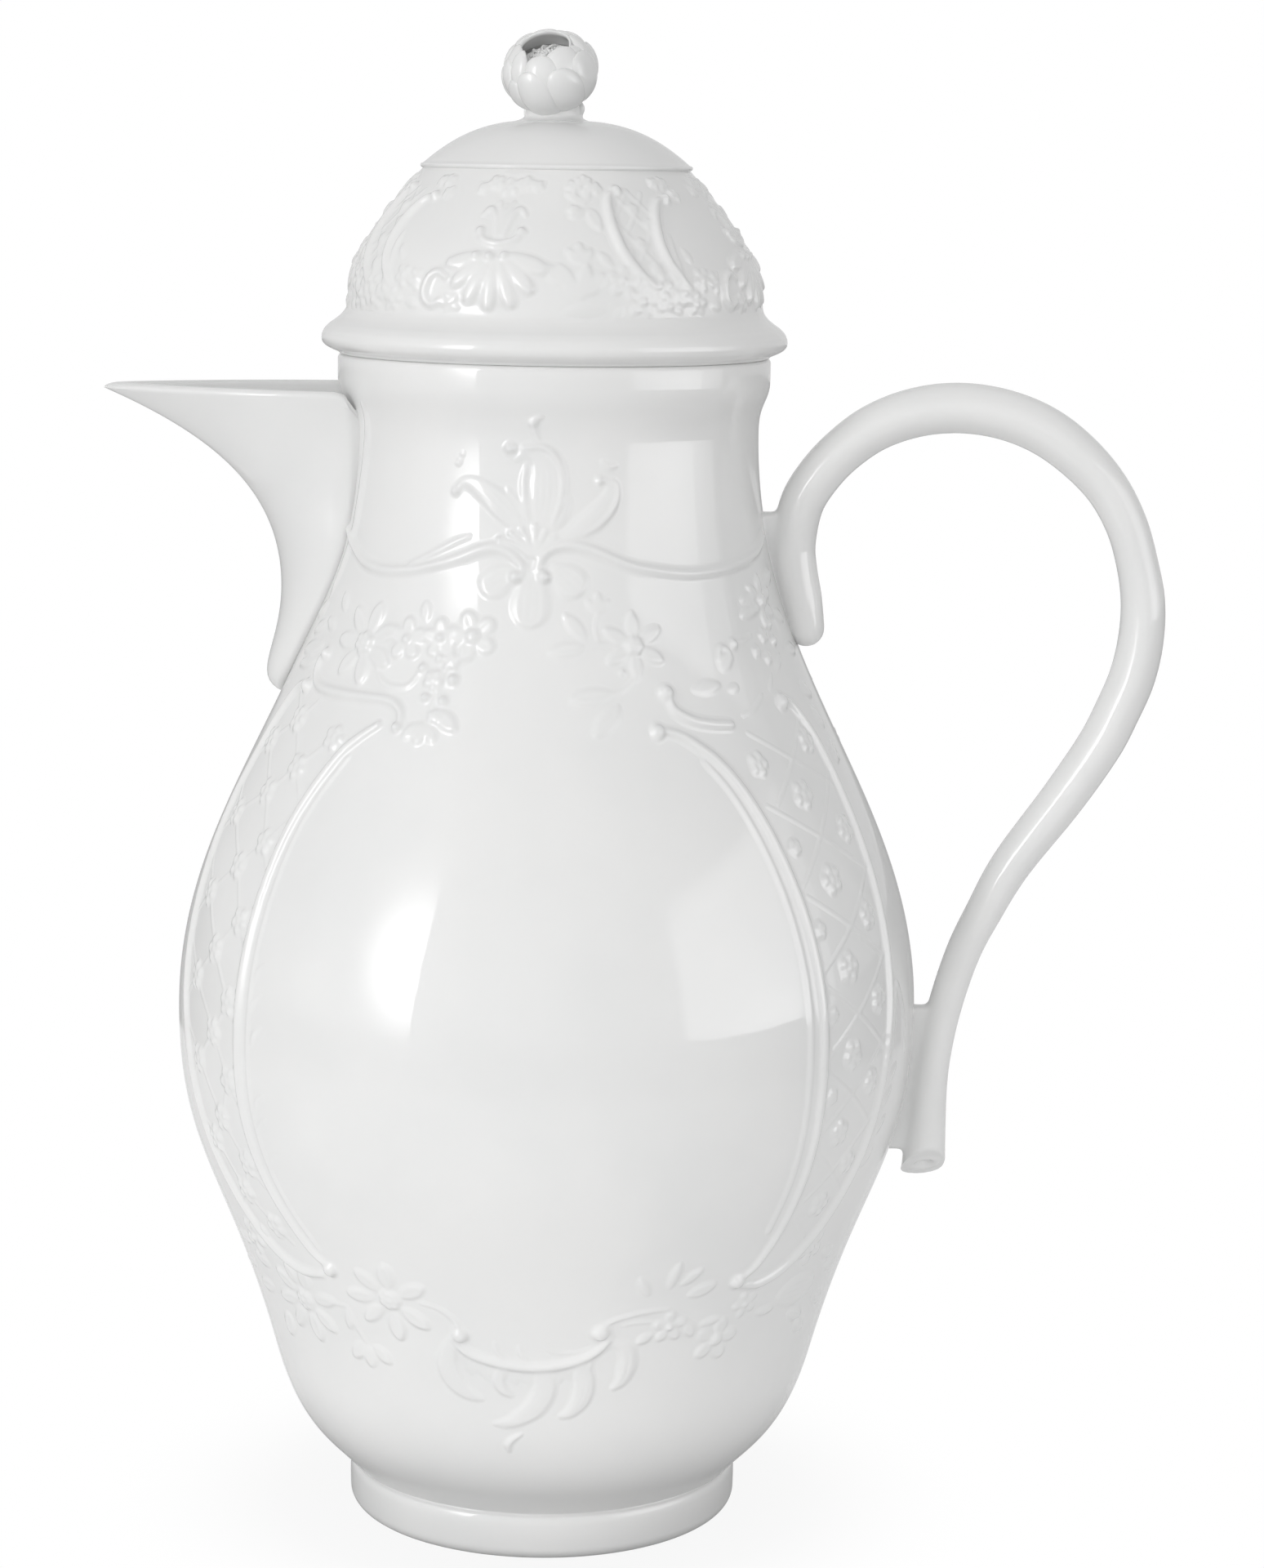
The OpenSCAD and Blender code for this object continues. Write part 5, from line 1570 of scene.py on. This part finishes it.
def sepal(name, turn, high, thick):
    """A sepal that rises against the stem and ends in a small round curl."""
    t = math.radians(turn)
    stations = [
        (STEM_R + 0.1, -0.4), (STEM_R + 0.1, 0.5), (STEM_R + 0.05, 0.5 * high), (STEM_R + 0.12, high),
        (STEM_R, high + 0.7), (STEM_R - 0.3, high + 1.2)
    ]
    widths = [0.3, 0.36, 0.4, thick, 0.8 * thick, 0.2]
    line = spline([(*s, w) for s, w in zip(stations, widths)], 5)
    path = [(STEM_X + r * math.sin(t), -r * math.cos(t), CROWN_TOP + h) for r, h, _ in line]
    return plump_strand(name, path, [w for _, _, w in line])


sepals = [
    sepal("sepal", 90, 1.9, 0.62), sepal("sepal_left", -98, 1.3, 0.42),
    sepal("sepal_back", 172, 1.9, 0.7)
]
finish(joined(sepals, "stem_sepals_curled"), lid_glaze, "lid", "lid_porcelain", "stem_sepals")

STAMENS = 260
HEAP_R = 4.3
GOLDEN_TURN = 2.399963
let_go()
bpy.ops.mesh.primitive_ico_sphere_add(subdivisions=3, radius=3.4 * MM)
heap = bpy.context.object
points = read_points(heap)
points[:, 2] = 0.55 * points[:, 2] + 0.2
write_points(heap, points)
heaped = [heap]
for i in range(STAMENS):
    away = HEAP_R * math.sqrt((i + 0.5) / STAMENS)
    turn = GOLDEN_TURN * i
    size = 0.19 + 0.15 * math.sin(5.1 * i) ** 2
    bpy.ops.mesh.primitive_ico_sphere_add(subdivisions=2, radius=size * MM)
    crumb = bpy.context.object
    height = 2.0 * math.sqrt(max(0.0, 1 - (away / 4.6) ** 2)) + 0.3 * math.sin(3.7 * i)
    height += 0.22 * math.sin(1.3 * i)
    write_points(crumb, read_points(crumb) + (away * math.cos(turn), away * math.sin(turn), height))
    heaped.append(crumb)
stamen_heap = lean_over(joined(heaped, "stamen_heap"), 1.3)
apply_modifier(stamen_heap, "REMESH", mode="VOXEL", voxel_size=0.1 * MM)
apply_modifier(stamen_heap, "SMOOTH", iterations=1)
finish(stamen_heap, lid_glaze, "lid", "lid_porcelain", "stamens")

# %% [markdown]
# ## Camera, floor and light
# The camera looks down a little on the pot from the front, with a long lens that keeps
# the sides upright. Its own axes are worked out from its turn and tilt and written in
# its matrix.

# %% Set up the camera
CAMERA_PLACE = Vector((48.35, -614.4, 229.8)) * MM
CAMERA_TURN = math.radians(-3.21)
CAMERA_TILT = math.radians(9.63)
CAMERA_ROLL = math.radians(0.86)
forward = Vector((
    math.sin(CAMERA_TURN) * math.cos(CAMERA_TILT), math.cos(CAMERA_TURN) * math.cos(CAMERA_TILT),
    -math.sin(CAMERA_TILT)
))
level = Vector((math.cos(CAMERA_TURN), -math.sin(CAMERA_TURN), 0.0))
upright = level.cross(forward)
side = level * math.cos(CAMERA_ROLL) + upright * math.sin(CAMERA_ROLL)
up = upright * math.cos(CAMERA_ROLL) - level * math.sin(CAMERA_ROLL)
let_go()
bpy.ops.object.camera_add(location=CAMERA_PLACE)
camera = bpy.context.object
camera.name = "camera"
camera.matrix_world = Matrix((
    (side.x, up.x, -forward.x, CAMERA_PLACE.x), (side.y, up.y, -forward.y, CAMERA_PLACE.y),
    (side.z, up.z, -forward.z, CAMERA_PLACE.z), (0, 0, 0, 1)
))
camera.data.lens = 85.0
camera.data.sensor_width = 36.0
camera.data.clip_start = 0.01
camera.data.clip_end = 30.0
bpy.context.scene.camera = camera
print("camera at", [round(v, 3) for v in CAMERA_PLACE])

# %% [markdown]
# The pot stands on a pale round table top in a darker studio. A camera ray that meets
# the floor sees it white, all but a share of it near the pot, which keeps the pot's soft
# shadow. A ray through glass sees the same, and the glaze mirrors a part of that white.
# Close round the foot the table's paint is darker. This is painted shade, and it dims the
# light that the table throws back up onto the foot and the bottom of the bowl.

# %% Lay the floor
TABLE_TONE = 0.94
TABLE_EDGE = 0.36
TABLE_EDGE_WIDTH = 0.01
BEYOND_TONE = 0.30
# painted shade: close round the foot, the table's paint darkens to this tone, as if it lay in the pot's shade
FOOT_PAINTED_SHADE_TONE = 0.3
FOOT_PAINTED_SHADE_FROM = 0.045
FOOT_PAINTED_SHADE_TO = 0.07
SHADOW_SHARE = 0.08
SHADOW_CLEAR_FROM = 0.034
SHADOW_CLEAR_AT = 0.08
GLAZE_SHARE = 0.3
WHITE = (1.0, 1.0, 1.0, 1.0)


def white_rays(tree):
    """Full for camera rays and rays through glass, a share for mirrored rays, else none."""
    rays = node(tree, "ShaderNodeLightPath").outputs
    mirrored_share = node(tree, "ShaderNodeMath", {1: GLAZE_SHARE}, operation="MULTIPLY")
    tree.links.new(rays["Is Glossy Ray"], mirrored_share.inputs[0])
    direct = combined(tree, "MAXIMUM", rays["Is Camera Ray"], rays["Is Transmission Ray"])
    return combined(tree, "MAXIMUM", direct, mirrored_share.outputs["Value"])


def make_floor_paint():
    """Matt pale paint, with painted shade close round the foot, that a camera or a mirror sees brighter than
    it is lit.
    """
    material = bpy.data.materials.new("studio_floor")
    material.use_nodes = True
    tree = material.node_tree
    link = tree.links.new
    tree.nodes.clear()
    output = node(tree, "ShaderNodeOutputMaterial")
    paint = node(tree, "ShaderNodeBsdfDiffuse")
    glow = node(tree, "ShaderNodeEmission", {"Color": WHITE, "Strength": 1.0})
    place = node(tree, "ShaderNodeTexCoord")
    away = node(tree, "ShaderNodeVectorMath", operation="LENGTH")
    link(place.outputs["Object"], away.inputs[0])
    away = away.outputs["Value"]
    table = ramp(tree, away, TABLE_EDGE, TABLE_EDGE + TABLE_EDGE_WIDTH, TABLE_TONE, BEYOND_TONE)
    # painted shade: the paint is darkened close round the foot, where the pot shades the table
    painted_foot_shade = ramp(tree, away, FOOT_PAINTED_SHADE_FROM, FOOT_PAINTED_SHADE_TO, FOOT_PAINTED_SHADE_TONE, 1.0)
    toned = combined(tree, "MULTIPLY", table, painted_foot_shade)
    tone = node(tree, "ShaderNodeCombineColor")
    for channel in ("Red", "Green", "Blue"):
        link(toned, tone.inputs[channel])
    link(tone.outputs["Color"], paint.inputs["Color"])
    clear = ramp(
        tree, away, SHADOW_CLEAR_FROM, SHADOW_CLEAR_AT, 1.0 - SHADOW_SHARE, 1.0,
        interpolation_type="SMOOTHSTEP"
    )
    mix = node(tree, "ShaderNodeMixShader")
    link(combined(tree, "MULTIPLY", white_rays(tree), clear), mix.inputs["Fac"])
    link(paint.outputs["BSDF"], mix.inputs[1])
    link(glow.outputs["Emission"], mix.inputs[2])
    link(mix.outputs["Shader"], output.inputs["Surface"])
    return material


let_go()
bpy.ops.mesh.primitive_plane_add(size=6.0, location=(0, 0, 0))
floor = bpy.context.object
floor.name = "studio_floor"
floor.data.materials.append(make_floor_paint())

bpy.context.scene.view_settings.view_transform = "Standard"

# %% [markdown]
# The main light is a tall window on the left. Its near edge is sharp and shows in the
# glaze down the side of the pot; its light is hottest beside that edge and fades away
# from it. A dimmer window stands on the right, and the glaze mirrors the bright sky low
# in it, down to its sill: a lamp of its own that only mirrors see. A wide soft panel in
# front lights the pot but is too faint to be mirrored. The room fills the rest.

# %% Hang the lamps
ROOM_LEVEL = 0.59
ROOM_LEVEL_ABOVE = 0.57
POT_MIDDLE = Vector((0, 0, 0.115))


def hang(name, turn, tilt, distance, width, height, watts):
    """A rectangular lamp at a turn and a tilt from the pot, facing it."""
    a, b = math.radians(turn), math.radians(tilt)
    away = Vector((math.sin(a) * math.cos(b), -math.cos(a) * math.cos(b), math.sin(b)))
    let_go()
    bpy.ops.object.light_add(type="AREA", location=POT_MIDDLE + away * distance)
    lamp = bpy.context.object
    lamp.name = name
    lamp.rotation_euler = away.to_track_quat("Z", "Y").to_euler()
    lamp.data.shape = "RECTANGLE"
    lamp.data.size = width
    lamp.data.size_y = height
    lamp.data.energy = watts
    print(name, watts, "W")
    return lamp


def hot_spot(lamp, middle, spread, floor_level, peak):
    """Makes a lamp brightest round one place; places and spreads are shares of its face."""
    lamp.data.use_nodes = True
    tree = lamp.data.node_tree
    link = tree.links.new
    face = node(tree, "ShaderNodeNewGeometry")
    offset = node(tree, "ShaderNodeVectorMath", {1: (*middle, 0.0)}, operation="SUBTRACT")
    link(face.outputs["Parametric"], offset.inputs[0])
    scaled = node(tree, "ShaderNodeVectorMath", {1: (*spread, 1.0)}, operation="DIVIDE")
    link(offset.outputs["Vector"], scaled.inputs[0])
    flat = node(tree, "ShaderNodeVectorMath", {1: (1.0, 1.0, 0.0)}, operation="MULTIPLY")
    link(scaled.outputs["Vector"], flat.inputs[0])
    away = node(tree, "ShaderNodeVectorMath", operation="LENGTH")
    link(flat.outputs["Vector"], away.inputs[0])
    fade = ramp(
        tree, away.outputs["Value"], 0.0, 1.0, peak, floor_level,
        interpolation_type="SMOOTHERSTEP"
    )
    glow = next(n for n in tree.nodes if n.type == "EMISSION")
    link(fade, glow.inputs["Strength"])


window = hang("window_left", -57, 14, 1.6, 1.24, 1.60, 8.9)
hot_spot(window, (0.94, 0.50), (0.55, 0.42), 0.25, 6.0)
hang("window_right", 67, 6, 1.8, 1.36, 1.5, 5.4)
panel = hang("front_panel", -5, 2, 2.4, 1.5, 1.5, 23.2)
panel.visible_glossy = False
mirrored = hang("window_right_mirrored", 74, 8, 1.8, 2.0, 1.25, 18.0)
mirrored.visible_diffuse = False
hot_spot(mirrored, (0.55, 0.0), (0.62, 1.0), 0.27, 1.0)

# %% Light the room
ROOM_DIMS_FROM = 0.1
ROOM_DIMS_AT = 0.85
world = bpy.data.worlds.new("studio")
bpy.context.scene.world = world
world.use_nodes = True
tree = world.node_tree
link = tree.links.new
tree.nodes.clear()
output = node(tree, "ShaderNodeOutputWorld")
room = node(tree, "ShaderNodeBackground", {"Color": WHITE})
white = node(tree, "ShaderNodeBackground", {"Color": WHITE, "Strength": 1.0})
sky_place = node(tree, "ShaderNodeTexCoord")
sky_parts = node(tree, "ShaderNodeSeparateXYZ")
link(sky_place.outputs["Generated"], sky_parts.inputs["Vector"])
level_at = ramp(
    tree, sky_parts.outputs["Z"], ROOM_DIMS_FROM, ROOM_DIMS_AT, ROOM_LEVEL, ROOM_LEVEL_ABOVE,
    interpolation_type="SMOOTHSTEP"
)
link(level_at, room.inputs["Strength"])
mix = node(tree, "ShaderNodeMixShader")
link(white_rays(tree), mix.inputs["Fac"])
link(room.outputs["Background"], mix.inputs[1])
link(white.outputs["Background"], mix.inputs[2])
link(mix.outputs["Shader"], output.inputs["Surface"])
